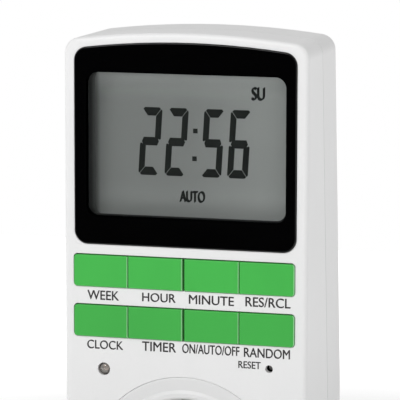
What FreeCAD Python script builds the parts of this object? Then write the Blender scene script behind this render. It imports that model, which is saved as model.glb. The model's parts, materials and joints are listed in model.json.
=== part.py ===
import FreeCAD, Part
import math
import os

# Plug-in weekly socket timer with a liquid crystal display and eight keys.
# Millimetres. The origin is the centre of the plug's end face, between the two pins.
# +X is to the right seen from the front, +Z is up and +Y goes into the wall.
# A depth, named below as such, counts from the front face of the case towards the wall.

# Case, two moulded shells that meet at a seam parallel to the back
case_width = 63.7
case_top = 113.0
case_bottom = 33.0
arch_radius = 224.0
case_corner = 4.0
case_depth = 38.2
front_edge_round = 1.2
rear_edge_round = 2.0
rear_slope_deg = 5.13
rear_bend_height = 20.0
rear_bend_radius = 80.0
seam_behind_board = 1.92
side_wall = 2.0
front_wall = 2.0
rear_wall = 2.2
seam_gap_width = 0.25
seam_gap_depth = 0.5
tongue_height = 1.6
tongue_thickness = 0.8
tongue_clearance = 0.12
least_corner = 0.4
cut_margin = 5.0
touching = 1e-4

# Plug on the back, for a round recessed wall socket
plug_height = 17.3
plug_radius = 18.6
plug_wall = 2.4
plug_end_wall = 3.0
plug_edge_round = 0.8
plug_groove_width = 5.4
plug_groove_depth = 2.6
plug_groove_wall = 1.6
pin_spacing = 19.0
pin_radius = 2.4
pin_length = 19.0
pin_tip_round = 1.6
pin_root_radius = 3.0
pin_hole_clearance = 0.1
pin_collar_radius = 4.0
pin_collar_height = 2.0
pin_shank_radius = 1.8
pin_shank_length = 5.5

# Socket on the front
ring_radius = 25.5
ring_gap = 0.06
ring_thickness = 2.2
ring_proud = 0.15
ring_edge_round = 0.4
ring_dish = 0.45
ring_rim_width = 0.6
ring_inner_rim = 1.5
ring_lip_slope = 0.8
recess_radius = 19.8
recess_depth = 17.5
recess_lip_round = 0.8
cup_wall = 2.0
ledge_reach = 2.1
ledge_overlap = 1.6
ledge_thickness = 1.6
rib_width = 4.8
rib_height = 2.2
rib_start = 3.0
notch_clearance = 0.4
base_thickness = 2.4
pin_entry_radius = 2.9
screw_post_x = 14.5
screw_post_z = 9.6
screw_post_radius = 2.6
screw_ear_half_width = 1.5

# Shutter behind the socket base
shutter_thickness = 2.0
shutter_height = 8.4
shutter_travel = 6.2
shutter_cover = 0.6
shutter_window_radius = 2.9
shutter_clearance = 0.2
shutter_chamber_depth = 2.5
shutter_frame_wall = 1.3
shutter_spring_room = 8.0
spring_coil_radius = 1.0
spring_wire_radius = 0.16
spring_turns = 4

# Contact carrier, contacts and earth strap
carrier_back_wall = 1.2
carrier_half_height = 6.2
contact_pocket_width = 7.6
contact_pocket_height = 8.8
contact_width = 6.4
contact_thickness = 0.6
contact_gap = 4.9
contact_front_gap = 0.4
contact_tail_width = 3.0
contact_foot = 3.4
live_tab_length = 2.8
carrier_screw_radius = 1.2
carrier_screw_head_radius = 2.2
carrier_screw_head_height = 1.3
screw_clearance = 0.15
earth_width = 6.0
earth_thickness = 0.8
earth_gap_to_carrier = 1.6
earth_inset = 0.2
earth_clip_start = 6.5
earth_clip_bulge = 10.0
earth_clip_end = 14.0
earth_clip_reach = 2.4
earth_slot_clearance = 0.3
earth_plug_end_gap = 2.7
earth_back_gap = 1.8
earth_plug_sink = 0.25

# Display
window_side_margin = 2.85
window_top_margin = 2.5
window_bottom = 58.8
window_arch_radius = 207.0
window_corner = 3.4
window_thickness = 2.0
window_proud = 0.4
window_clearance = 0.15
window_edge_round = 0.25
bezel_plate = 0.8
bezel_collar_wall = 0.9
bezel_collar_clearance = 0.2
bezel_collar_drop = 0.9
view_side_margin = 3.15
view_top_margin = 8.0
view_bottom_margin = 7.5
view_corner = 2.5
seat_thickness = 1.6
seat_margin = 1.2
lcd_depth = 7.0
lcd_thickness = 2.0
lcd_side_border = 2.15
lcd_border = 1.9
holder_wall = 0.8
holder_clearance = 0.15
strip_height = 1.6
strip_inset = 1.2
strip_side_gap = 4.0

# Control board
board_depth = 11.4
board_thickness = 1.6
board_side_gap = 1.85
board_top_gap = 1.8
board_bottom = 22.6
board_notch_gap = 1.8
board_corner = 1.0
board_post_radius = 1.9
board_post_inset = 2.0
board_post_top_inset = 1.85
board_post_above_keys = 8.48
board_post_below_keys = 8.6
board_screw_radius = 0.9
board_screw_length = 4.2
board_screw_head_radius = 1.8
board_screw_head_height = 1.1
pilot_clearance = 0.05

# Keys and the switches under them
key_side_margin = 2.88
key_shift = 0.3
key_drop = 0.08
key_height = 8.15
key_pair_gap = 0.2
key_centre_gap = 0.6
key_row_drop = 6.88
key_row_pitch = 12.92
key_proud = 0.45
key_face_round = 0.35
key_corner = 0.9
key_window_clearance = 0.2
key_flange = 0.8
key_flange_thickness = 0.9
key_flange_gap = 0.1
key_side_clearance = 0.3
key_stem_radius = 1.9
switch_size = 6.0
switch_height = 3.4
switch_nub_radius = 1.7
switch_nub_proud = 0.8
switch_nub_inside = 1.2
switch_nub_clearance = 0.15
switch_floor = 0.5
reset_side_margin = 9.7
reset_below_keys = 10.1
reset_hole_radius = 1.0
reset_pin_radius = 0.8
reset_pin_depth = 3.2

# Indicator
led_side_margin = 10.4
led_below_keys = 12.5
led_radius = 1.5
led_hole_clearance = 0.15
led_sink = 0.3
led_dome_round = 1.2
led_flange_radius = 1.9
led_flange_height = 0.9
led_length = 5.2
led_lead_radius = 0.25
led_lead_spacing = 1.27
led_lead_tail = 1.0

# Parts on the back of the control board
chip_size = 11.0
chip_height = 1.6
chip_edge = 0.3
chip_x = 4.0
chip_below_top = 25.2
crystal_radius = 1.0
crystal_length = 6.0
crystal_x = -8.0
crystal_below_top = 25.2
cell_radius = 7.8
cell_height = 5.4
cell_step_radius = 6.2
cell_edge_round = 0.7
cell_side_margin = 12.5
cell_below_top = 9.2
cell_tab_width = 4.0
cell_tab_thickness = 0.3
cell_tab_reach = 2.0

# Power board
power_back_gap = 1.19
power_thickness = 1.6
power_side_gap = 3.85
power_top_gap = 13.3
power_length = 61.0
power_post_radius = 2.6
power_post_inset = 3.4
power_post_end_inset = 4.0

# Relay
relay_side_margin = 15.0
relay_above_edge = 20.0
relay_width = 16.0
relay_length = 22.0
relay_front_gap = 0.8
relay_case_wall = 0.9
relay_base_height = 2.0
coil_radius = 4.4
armature_front_gap = 0.45
coil_core_radius = 1.6
coil_flange_radius = 4.9
coil_flange_height = 0.8
yoke_thickness = 1.0
armature_thickness = 0.9
armature_gap = 0.35
armature_seat = 0.1
armature_angle_deg = 2.5
relay_contact_thickness = 0.5
relay_contact_radius = 1.5

# Other parts on the power board
film_side_margin = 13.0
film_below_edge = 20.0
film_width = 17.6
film_length = 8.0
film_front_gap = 2.2
film_corner = 1.0
smoothing_x = 9.0
smoothing_below_film = 17.0
smoothing_radius = 5.0
smoothing_front_gap = 1.7
smoothing_edge_round = 0.6
smoothing_neck = 1.9
smoothing_collar = 0.25
fuse_side_margin = 5.5
fuse_above_edge = 15.0
fuse_radius = 2.0
fuse_length = 11.0
fuse_cap_length = 2.4
fuse_foot_radius = 0.8
resistor_radius = 1.4
resistor_length = 6.4
resistor_x = 6.0
resistor_gap = 0.2
resistor_pitch = 4.2
resistor_count = 3
diode_radius = 1.3
diode_length = 5.0
diode_side_margin = 8.0
diode_below_edge = 22.0
diode_pitch = 4.4
diode_count = 4
varistor_front_gap = 3.05
varistor_thickness = 4.0
varistor_edge_round = 1.0
varistor_x = -3.0
varistor_below_edge = 10.0
lead_radius = 0.35
lead_bend_reach = 1.05
board_standoff = 0.15
link_wire_radius = 0.55
link_wire_pitch = 1.6
link_wire_count = 5
link_wire_above_edge = 3.5
link_wire_stub = 0.3
link_hole_clearance = 0.05

# Mains wires inside the case
wire_radius = 1.1
wire_bend_radius = 2.6
wire_gap = 0.1
wire_back_gap = 0.9
wire_board_above_edge = 2.6
wire_bend_height = 24.0
wire_behind_board = 3.8
pin_wire_shift = 0.5
pin_wire_straight = 4.0
pin_wire_rise = 7.0

# Screws that hold the two shells
case_screw_side_margin = 6.05
case_screw_bottom_margin = 8.4
case_screw_mid = 16.8
case_screw_top_margin = 4.8
case_boss_radius = 3.1
case_top_boss_radius = 2.6
case_well_radius = 4.2
case_screw_radius = 1.4
case_screw_head_radius = 2.6
case_screw_head_height = 1.8
case_screw_sink = 9.0
case_screw_bite = 7.0
case_counterbore_radius = 2.9

# Shares of a screw head's size
head_round_share = 0.33
head_slot_share = 0.17
head_cross_share = 0.65

# Places worked out from the sizes above
case_half = case_width / 2.0
front_y = -plug_height - case_depth
rear_y = -plug_height
slope = math.radians(rear_slope_deg)
pin_x = pin_spacing / 2.0
inner_half = case_half - side_wall
case_screw_x = case_half - case_screw_side_margin
case_screw_low = case_screw_bottom_margin - case_bottom
case_screw_top = case_top - case_screw_top_margin
window_half_width = case_half - window_side_margin
window_top = case_top - window_top_margin
view_half_width = window_half_width - view_side_margin
view_top = window_top - view_top_margin
view_bottom = window_bottom + view_bottom_margin
lcd_half_width = view_half_width + lcd_side_border
key_width = (case_half - key_side_margin - key_centre_gap / 2 - key_pair_gap) / 2
key_row_high = window_bottom - key_row_drop
key_row_low = key_row_high - key_row_pitch
reset_x = case_half - reset_side_margin
reset_z = key_row_low - reset_below_keys
led_x = led_side_margin - case_half
led_z = key_row_low - led_below_keys
ledge_radius = ring_radius + ledge_reach
ring_dish_outer = ring_radius - ring_rim_width
ring_dish_inner = recess_radius + ring_inner_rim
notch_width = earth_width + 2 * notch_clearance
cup_radius = recess_radius + cup_wall
board_notch_radius = cup_radius + board_notch_gap
board_half_width = inner_half - board_side_gap
board_top = case_top - side_wall - board_top_gap
board_post_x = board_half_width - board_post_inset
board_post_high = board_top - board_post_top_inset
board_post_low = key_row_high + board_post_above_keys
board_post_centre = key_row_low - board_post_below_keys
cell_x = cell_side_margin - board_half_width
cell_z = board_top - cell_below_top
chip_z = board_top - chip_below_top
crystal_z = board_top - crystal_below_top
power_half_width = inner_half - power_side_gap
relay_x = relay_side_margin - power_half_width
film_x = power_half_width - film_side_margin
fuse_x = power_half_width - fuse_side_margin
diode_x = diode_side_margin - power_half_width
power_top = case_top - side_wall - power_top_gap
power_bottom = power_top - power_length
power_post_x = power_half_width - power_post_inset
power_post_high = power_top - power_post_end_inset
power_post_low = power_bottom + power_post_end_inset
varistor_z = power_top - varistor_below_edge
diode_z = power_top - diode_below_edge
film_z = power_top - film_below_edge
smoothing_z = film_z - smoothing_below_film
relay_z = power_bottom + relay_above_edge
fuse_z = power_bottom + fuse_above_edge
link_wire_z = power_bottom + link_wire_above_edge
wire_board_height = power_bottom + wire_board_above_edge
pin_wire_x = pin_x - pin_wire_shift


def at(depth):
    """Y of a plane that lies this deep behind the front face of the case."""
    return front_y + depth


def vec(x, y, z):
    """Short form of a point or direction."""
    return FreeCAD.Vector(x, y, z)


def line(start, end):
    """Straight edge."""
    return Part.LineSegment(start, end).toShape()


def arc(start, middle, end):
    """Circular edge through three points."""
    return Part.Arc(start, middle, end).toShape()


def block(x_low, x_high, depth_low, depth_high, z_low, z_high):
    """Straight block between two depths."""
    size = (x_high - x_low, depth_high - depth_low, z_high - z_low)
    return Part.makeBox(*size, vec(x_low, at(depth_low), z_low))


def rod(x, z, depth_low, depth_high, radius):
    """Round rod along Y between two depths."""
    return Part.makeCylinder(radius, depth_high - depth_low, vec(x, at(depth_low), z), vec(0, 1, 0))


def ring(x, z, depth_low, depth_high, outer, inner):
    """Round tube along Y between two depths."""
    return rod(x, z, depth_low, depth_high, outer).cut(rod(x, z, depth_low, depth_high, inner))


def cross_rod(x_low, x_high, depth, z, radius):
    """Round rod along X."""
    return Part.makeCylinder(radius, x_high - x_low, vec(x_low, at(depth), z), vec(1, 0, 0))


def joined(shapes):
    """One solid made from touching shapes, with no leftover seams."""
    first = shapes[0]
    return first.multiFuse(shapes[1:]).removeSplitter()


def without(shape, cutters):
    """Shape with all the cutters taken out."""
    return shape.cut(Part.makeCompound(cutters))


def arch_corner(half_width, apex, radius, corner, way):
    """Side point, middle and arch point of the round corner where a side meets an arch."""
    centre_z = apex - way * radius
    rise = math.sqrt((radius - corner) ** 2 - (half_width - corner) ** 2)
    corner_z = centre_z + way * rise
    angle = math.atan2(rise, half_width - corner)
    side = (half_width, corner_z)
    middle_x = half_width - corner + corner * math.cos(angle / 2)
    middle = (middle_x, corner_z + way * corner * math.sin(angle / 2))
    on_arch = (radius * math.cos(angle), centre_z + way * radius * math.sin(angle))
    return side, middle, on_arch


def flat_corner(half_width, low, corner):
    """Side point, middle and bottom point of the round corner above a straight bottom edge."""
    diagonal = corner * (1 - math.sqrt(0.5))
    side = (half_width, low + corner)
    middle = (half_width - diagonal, low + diagonal)
    return side, middle, (half_width - corner, low)


def arched_prism(half_width, top, bottom, radius, corner, depth_low, depth_high, arched_bottom=True):
    """Prism along Y whose outline has straight sides and an arched top, and bottom where asked."""
    y = at(depth_low)

    def point(pair, mirror=1):
        return vec(mirror * pair[0], y, pair[1])

    side, middle, crown = arch_corner(half_width, top, radius, corner, 1)
    if arched_bottom:
        low_side, low_middle, low_crown = arch_corner(half_width, bottom, radius, corner, -1)
        bottom_edge = arc(point(low_crown, -1), vec(0, y, bottom), point(low_crown))
    else:
        low_side, low_middle, low_crown = flat_corner(half_width, bottom, corner)
        bottom_edge = line(point(low_crown, -1), point(low_crown))
    edges = [
        line(point(low_side), point(side)),
        arc(point(side), point(middle), point(crown)),
        arc(point(crown), vec(0, y, top), point(crown, -1)),
        arc(point(crown, -1), point(middle, -1), point(side, -1)),
        line(point(side, -1), point(low_side, -1)),
        arc(point(low_side, -1), point(low_middle, -1), point(low_crown, -1)),
        bottom_edge,
        arc(point(low_crown), point(low_middle), point(low_side)),
    ]
    face = Part.Face(Part.Wire(edges))
    return face.extrude(vec(0, depth_high - depth_low, 0))


def rounded_block(x_low, x_high, depth_low, depth_high, z_low, z_high, corner):
    """Block whose four edges along Y are rounded."""
    shape = block(x_low, x_high, depth_low, depth_high, z_low, z_high)
    along = [edge for edge in shape.Edges if edge.BoundBox.YLength > (depth_high - depth_low) / 2]
    return shape.makeFillet(corner, along)


def edges_at(shape, depth):
    """Edges that lie wholly in the plane at a depth."""
    y = at(depth)
    return [e for e in shape.Edges
            if abs(e.BoundBox.YMin - y) < touching and abs(e.BoundBox.YMax - y) < touching]


def back_profile(inset):
    """Points (depth line) of the back of the case, moved towards the front by an inset."""
    back = rear_y - inset
    radius = rear_bend_radius - inset
    bend_start = rear_bend_height - rear_bend_radius * math.tan(slope / 2)
    centre_y = back - radius
    bend_middle = (centre_y + radius * math.cos(slope / 2), bend_start + radius * math.sin(slope / 2))
    bend_end = (centre_y + radius * math.cos(slope), bend_start + radius * math.sin(slope))
    return back, bend_start, bend_middle, bend_end


def ahead_of_back(inset):
    """Block that reaches from ahead of the case to a surface parallel to its back."""
    back, bend_start, bend_middle, bend_end = back_profile(inset)
    x = -case_half - cut_margin
    low = -case_bottom - cut_margin
    high = case_top + cut_margin
    front = front_y - cut_margin
    high_y = bend_end[0] - (high - bend_end[1]) * math.tan(slope)
    start = vec(x, back, bend_start)
    end = vec(x, *bend_end)
    edges = [
        line(vec(x, front, low), vec(x, back, low)),
        line(vec(x, back, low), start),
        arc(start, vec(x, *bend_middle), end),
        line(end, vec(x, high_y, high)),
        line(vec(x, high_y, high), vec(x, front, high)),
        line(vec(x, front, high), vec(x, front, low)),
    ]
    face = Part.Face(Part.Wire(edges))
    return face.extrude(vec(2 * (case_half + cut_margin), 0, 0))


def back_depth(z, inset=0.0):
    """Depth of the back of the case at a height, moved towards the front by an inset."""
    back, bend_start, bend_middle, bend_end = back_profile(inset)
    if z <= bend_start:
        return back - front_y
    if z >= bend_end[1]:
        return bend_end[0] - (z - bend_end[1]) * math.tan(slope) - front_y
    radius = rear_bend_radius - inset
    return back - radius + math.sqrt(radius ** 2 - (z - bend_start) ** 2) - front_y


def case_prism(inset, depth_low, depth_high):
    """Prism of the case's own outline, moved inwards by an inset."""
    corner = max(case_corner - inset, least_corner)
    top = case_top - inset
    bottom = inset - case_bottom
    return arched_prism(case_half - inset, top, bottom, arch_radius - inset, corner, depth_low, depth_high)


def case_solid():
    """Whole outer form of the case, filled, with its rounded front and back edges."""
    solid = case_prism(0.0, 0.0, case_depth).common(ahead_of_back(0.0))
    front_loop = edges_at(solid, 0.0)
    solid = solid.makeFillet(front_edge_round, front_loop)
    ahead = at(case_depth / 4)
    back_loop = []
    for edge in solid.Edges:
        box = edge.BoundBox
        level = box.ZLength < touching and box.XLength > case_half
        if box.YMin > ahead and not level:
            back_loop.append(edge)
    return solid.makeFillet(rear_edge_round, back_loop)


def case_cavity():
    """Free space inside the two shells."""
    return case_prism(side_wall, front_wall, case_depth).common(ahead_of_back(rear_wall))


def seam_band(outer_inset, inner_inset, reach_low, reach_high):
    """Band along the walls between two insets, over a stretch on either side of the seam."""
    outer = case_prism(outer_inset, 0.0, case_depth)
    inner = case_prism(inner_inset, 0.0, case_depth)
    high = ahead_of_back(rear_shell_height - reach_high)
    low = ahead_of_back(rear_shell_height + reach_low)
    return outer.cut(inner).common(high.cut(low))


def case_screws_at():
    """Place and boss radius of each screw that joins the shells."""
    places = []
    for side in (-1, 1):
        places.append((side * case_screw_x, case_screw_low, case_boss_radius))
        places.append((side * case_screw_x, case_screw_mid, case_boss_radius))
    places.append((0.0, case_screw_top, case_top_boss_radius))
    return places


def board_posts_at():
    """Centres of the posts that carry the control board."""
    places = [(side * board_post_x, z) for side in (-1, 1) for z in (board_post_low, board_post_high)]
    return places + [(0.0, board_post_centre)]


def power_posts_at():
    """Centres of the posts that carry the power board."""
    return [(side * power_post_x, z) for side in (-1, 1) for z in (power_post_low, power_post_high)]


def key_row_span():
    """Half width of a row of four keys."""
    return key_centre_gap / 2 + 2 * key_width + key_pair_gap


def key_columns():
    """Left edge of each of the four keys in a row, which sits a little left of the socket's axis."""
    inner = key_centre_gap / 2
    outer = inner + key_width + key_pair_gap
    return [edge - key_shift for edge in (-outer - key_width, -inner - key_width, inner, outer)]


def key_window(row_z):
    """Opening in the front wall for one row of keys."""
    half = key_row_span() + key_window_clearance
    rise = key_height / 2 + key_window_clearance
    corner = key_corner + key_window_clearance
    low = -key_proud - front_wall
    sides = (-half - key_shift, half - key_shift)
    return rounded_block(*sides, low, 2 * front_wall, row_z - rise, row_z + rise, corner)


def window_prism(grow, depth_low, depth_high):
    """Prism of the display window's outline, grown by a clearance."""
    corner = window_corner + grow
    radius = window_arch_radius + grow
    half = window_half_width + grow
    top = window_top + grow
    bottom = window_bottom - grow
    return arched_prism(half, top, bottom, radius, corner, depth_low, depth_high, False)


def view_block(grow, depth_low, depth_high, drop=0.0):
    """Block of the display's viewing opening, grown all round and lowered at its bottom edge."""
    half = view_half_width + grow
    low = view_bottom - grow - drop
    return rounded_block(-half, half, depth_low, depth_high, low, view_top + grow, view_corner + grow)


# Depths worked out from the thicknesses
window_back = window_thickness - window_proud
bezel_back = window_back + bezel_plate
seat_back = bezel_back + seat_thickness
lcd_back = lcd_depth + lcd_thickness
board_back = board_depth + board_thickness
rear_shell_height = (back_depth(case_screw_top) - board_back - seam_behind_board) * math.cos(slope)
power_back = back_depth(power_top, rear_wall) - power_back_gap
power_depth = power_back - power_thickness
relay_height = power_depth - board_back - relay_front_gap
armature_room = armature_thickness + armature_gap + coil_flange_height / 2 + armature_front_gap
coil_length = relay_height - relay_base_height - relay_case_wall - armature_room
film_height = power_depth - board_back - film_front_gap
smoothing_height = power_depth - board_back - smoothing_front_gap
varistor_radius = (power_depth - board_standoff - board_back - varistor_front_gap) / 2
base_back = recess_depth + base_thickness
carrier_front = base_back + shutter_chamber_depth
strap_cross_depth = case_depth - rear_wall - earth_back_gap
carrier_back = strap_cross_depth - earth_gap_to_carrier
contact_leaf_length = carrier_back - carrier_front - carrier_back_wall - contact_front_gap
plug_face = case_depth + plug_height
earth_plug_depth = plug_height - earth_plug_end_gap
wire_depth = case_depth - rear_wall - wire_radius - wire_back_gap
wire_board_bend = power_back + wire_behind_board
ledge_inner = ring_radius - ledge_overlap
ring_back = ring_thickness


def front_shell():
    """Front shell: walls, display seat, socket ledge, screw bosses and board posts."""
    shell = case_solid().common(ahead_of_back(rear_shell_height))
    shell = shell.cut(case_cavity())
    seat_block = block(-case_half, case_half, front_wall, seat_back, window_bottom - seat_margin, case_top)
    parts = [shell, case_prism(side_wall, front_wall, seat_back).common(seat_block)]
    parts.append(rod(0, 0, front_wall, ring_back + ledge_thickness, ledge_radius))
    for x, z, radius in case_screws_at():
        parts.append(rod(x, z, front_wall, back_depth(z, rear_shell_height), radius))
    for x, z in board_posts_at():
        parts.append(rod(x, z, front_wall, board_depth, board_post_radius))
    tongue = seam_band(side_wall - tongue_thickness, side_wall, front_wall, tongue_height)
    parts.append(tongue)
    shell = joined(parts)
    cutters = [window_prism(window_clearance, -front_wall, bezel_back)]
    cutters.append(view_block(bezel_collar_wall + bezel_collar_clearance, 0.0, lcd_depth, bezel_collar_drop))
    cutters.append(key_window(key_row_high))
    cutters.append(key_window(key_row_low))
    cutters.append(rod(led_x, led_z, -front_wall, 2 * front_wall, led_radius + led_hole_clearance))
    cutters.append(rod(reset_x, reset_z, -front_wall, 2 * front_wall, reset_hole_radius))
    cutters.append(rod(0, 0, -front_wall, ring_back, ring_radius + ring_gap))
    cutters.append(rod(0, 0, -front_wall, board_depth, ledge_inner))
    pilot = case_screw_radius + pilot_clearance
    for x, z, _ in case_screws_at():
        seam = back_depth(z, rear_shell_height)
        cutters.append(rod(x, z, seam - case_screw_bite, seam + tongue_height, pilot))
    for x, z in board_posts_at():
        low = board_depth - board_screw_length + board_thickness
        cutters.append(rod(x, z, low, board_depth, board_screw_radius + pilot_clearance))
    cutters.append(seam_band(0.0, seam_gap_depth, seam_gap_width, 0.0))
    return without(shell, cutters)


def plug_body():
    """Round plug on the back, still solid, with its rounded end."""
    body = rod(0, 0, case_depth - rear_wall, plug_face, plug_radius)
    return body.makeFillet(plug_edge_round, edges_at(body, plug_face))


def plug_grooves(grow, depth_low, depth_high):
    """Blocks of the two keying grooves in the sides of the plug, or of their walls."""
    half = plug_groove_width / 2 + grow
    inner = plug_radius - plug_groove_depth - grow
    outer = plug_radius + cut_margin
    shapes = [block(inner, outer, depth_low, depth_high, -half, half)]
    shapes.append(block(-outer, -inner, depth_low, depth_high, -half, half))
    return shapes


def earth_slots():
    """Slots in the plug's wall for the two earth strips."""
    half = earth_width / 2 + earth_slot_clearance
    inner = earth_plug_z() - earth_slot_clearance
    end = case_depth + earth_plug_depth + earth_slot_clearance
    outer = plug_radius + cut_margin
    low = case_depth - 2 * rear_wall
    through = earth_plug_z() + earth_thickness + earth_slot_clearance
    shapes = []
    for side in (-1, 1):
        near, far = sorted((side * inner, side * outer))
        shapes.append(block(-half, half, case_depth, end, near, far))
        near, far = sorted((side * inner, side * through))
        shapes.append(block(-half, half, low, case_depth, near, far))
    return shapes


def earth_plug_z():
    """Height of the inner face of an earth strip on the plug."""
    return plug_radius - earth_plug_sink - earth_thickness


def rear_shell():
    """Rear shell: walls, hollow plug with grooves and pin holes, screw wells and power board posts."""
    shell = case_solid().cut(ahead_of_back(rear_shell_height)).cut(case_cavity())
    outside = case_solid()
    hollow = rod(0, 0, case_depth - 2 * rear_wall, plug_face - plug_end_wall, plug_radius - plug_wall)
    groove_walls = plug_grooves(plug_groove_wall, case_depth - rear_wall, plug_face)
    groove_walls = [wall.common(rod(0, 0, 0, plug_face, plug_radius - plug_wall)) for wall in groove_walls]
    hollow = hollow.cut(Part.makeCompound(groove_walls))
    parts = [shell.fuse(plug_body()).cut(hollow)]
    for x, z, _ in case_screws_at():
        post = rod(x, z, back_depth(z, rear_shell_height), case_depth, case_well_radius)
        parts.append(post.common(outside))
    for x, z in power_posts_at():
        post = rod(x, z, power_back, case_depth, power_post_radius)
        parts.append(post.common(outside))
    shell = joined(parts)
    cutters = plug_grooves(0.0, case_depth, plug_face + cut_margin)
    cutters += earth_slots()
    for side in (-1, 1):
        hole = pin_root_radius + pin_hole_clearance
        cutters.append(rod(side * pin_x, 0, case_depth, plug_face + cut_margin, hole))
    for x, z, _ in case_screws_at():
        seat = back_depth(z) - case_screw_sink
        cutters.append(rod(x, z, seat, case_depth + cut_margin, case_counterbore_radius))
        clear = case_screw_radius + screw_clearance
        cutters.append(rod(x, z, back_depth(z, rear_shell_height) - tongue_height, seat, clear))
    for x, z in power_posts_at():
        hole = board_screw_radius + pilot_clearance
        cutters.append(rod(x, z, power_back, power_back + board_screw_length - power_thickness, hole))
    groove_outer = side_wall - tongue_thickness - tongue_clearance
    groove_inner = side_wall + tongue_clearance
    cutters.append(seam_band(groove_outer, groove_inner, 0.0, tongue_height + tongue_clearance))
    return without(shell, cutters)


def screw(x, z, head_depth, way, head_radius, head_height, shank_radius, length):
    """Pan head screw along Y; way is 1 when it drives towards the wall, -1 towards the front."""
    seat = head_depth + way * head_height
    low, high = sorted((head_depth, seat))
    head = rod(x, z, low, high, head_radius)
    head = head.makeFillet(head_height * head_round_share, edges_at(head, head_depth))
    slot_half = head_radius * head_slot_share
    low, high = sorted((head_depth, head_depth + way * head_height / 2))
    reach = head_radius * head_cross_share
    cross = [block(x - reach, x + reach, low, high, z - slot_half, z + slot_half)]
    cross.append(block(x - slot_half, x + slot_half, low, high, z - reach, z + reach))
    low, high = sorted((seat, seat + way * length))
    return joined([without(head, cross), rod(x, z, low, high, shank_radius)])


def case_screws():
    """Five screws driven from the back into the front shell's bosses."""
    screws = []
    for x, z, _ in case_screws_at():
        seat = back_depth(z) - case_screw_sink
        bite = seat - back_depth(z, rear_shell_height) + case_screw_bite - pilot_clearance
        head = seat + case_screw_head_height
        size = (case_screw_head_radius, case_screw_head_height, case_screw_radius)
        screws.append(screw(x, z, head, -1, *size, bite))
    return Part.makeCompound(screws)


def display_window():
    """Clear arched window over the display."""
    pane = window_prism(0.0, -window_proud, window_back)
    return pane.makeFillet(window_edge_round, edges_at(pane, -window_proud))


def display_bezel():
    """Black frame behind the window, with a collar that lines the opening down to the glass."""
    plate = window_prism(0.0, window_back, bezel_back)
    collar = view_block(bezel_collar_wall, window_back, lcd_depth, bezel_collar_drop)
    frame = joined([plate, collar])
    view = view_block(0.0, 0.0, bezel_back)
    return without(frame, [view, view_block(0.0, bezel_back, 2 * lcd_depth, bezel_collar_drop)])


def lcd_low():
    """Lower edge of the display glass."""
    return view_bottom - bezel_collar_drop - lcd_border


def lcd_panel():
    """Display glass: a front and a back pane, with the contact ledge along the bottom."""
    half_thickness = lcd_thickness / 2
    high = view_top + lcd_border
    front = block(-lcd_half_width, lcd_half_width, lcd_depth, lcd_depth + half_thickness, lcd_low(), high)
    ledge = lcd_low() + strip_height + strip_inset
    back = block(-lcd_half_width, lcd_half_width, lcd_depth + half_thickness, lcd_back, ledge, high)
    return joined([front, back])


def lcd_holder():
    """Frame that carries the display glass on the control board."""
    half = lcd_half_width + holder_clearance + holder_wall
    high = view_top + lcd_border + holder_clearance + holder_wall
    low = lcd_low() - holder_clearance - holder_wall
    outer = block(-half, half, lcd_depth, board_depth, low, high)
    glass_half = lcd_half_width + holder_clearance
    glass_high = high - holder_wall
    pocket = block(-glass_half, glass_half, lcd_depth, lcd_back, low + holder_wall, glass_high)
    strip_half = lcd_half_width - strip_side_gap + holder_clearance
    strip_high = lcd_low() + strip_height + holder_clearance
    channel = block(-strip_half, strip_half, lcd_depth, board_depth, lcd_low() - holder_clearance, strip_high)
    inner_half = view_half_width
    middle = block(-inner_half, inner_half, lcd_back, board_depth, strip_high + holder_wall, view_top)
    return without(outer, [pocket, channel, middle])


def contact_strip():
    """Rubber strip that connects the glass to the control board."""
    half = lcd_half_width - strip_side_gap
    low = lcd_low()
    front = lcd_depth + lcd_thickness / 2
    return block(-half, half, front, board_depth, low, low + strip_height)


def control_board():
    """Control board with its notch round the socket and its screw holes."""
    half = board_half_width
    board = rounded_block(-half, half, board_depth, board_back, board_bottom, board_top, board_corner)
    low = board_depth - board_thickness
    high = board_back + board_thickness
    cutters = [rod(0, 0, low, high, board_notch_radius)]
    gap = 2 * screw_clearance
    cutters.append(rod(0, case_screw_top, low, high, case_well_radius + gap))
    for x, z in board_posts_at():
        cutters.append(rod(x, z, low, high, board_screw_radius + screw_clearance))
    for x in link_wires_at():
        cutters.append(rod(x, link_wire_z, low, high, link_wire_radius + link_hole_clearance))
    for way in (-1, 1):
        x = led_x + way * led_lead_spacing
        cutters.append(rod(x, led_z, low, high, led_lead_radius + link_hole_clearance))
    return without(board, cutters)


def board_screws():
    """Five screws in the control board and four in the power board."""
    size = (board_screw_head_radius, board_screw_head_height, board_screw_radius)
    length = board_screw_length - pilot_clearance
    screws = [screw(x, z, board_back + board_screw_head_height, -1, *size, length)
              for x, z in board_posts_at()]
    screws += [screw(x, z, power_depth - board_screw_head_height, 1, *size, length)
               for x, z in power_posts_at()]
    return Part.makeCompound(screws)


def switches_at():
    """Centre of each push switch: the eight keys and the reset switch."""
    places = []
    for row_z in (key_row_high, key_row_low):
        for left in key_columns():
            places.append((left + key_width / 2, row_z))
    places.append((reset_x, reset_z))
    return places


def switch_housings():
    """Bodies of the nine push switches, each hollow round its nub."""
    bodies = []
    half = switch_size / 2
    front = board_depth - switch_height
    for x, z in switches_at():
        body = block(x - half, x + half, front, board_depth, z - half, z + half)
        well = rod(x, z, front, board_depth - switch_floor, switch_nub_radius + switch_nub_clearance)
        bodies.append(body.cut(well))
    return Part.makeCompound(bodies)


def switch_nub(place):
    """Moving nub of one push switch."""
    x, z = place
    front = board_depth - switch_height
    return rod(x, z, front - switch_nub_proud, front + switch_nub_inside, switch_nub_radius)


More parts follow.
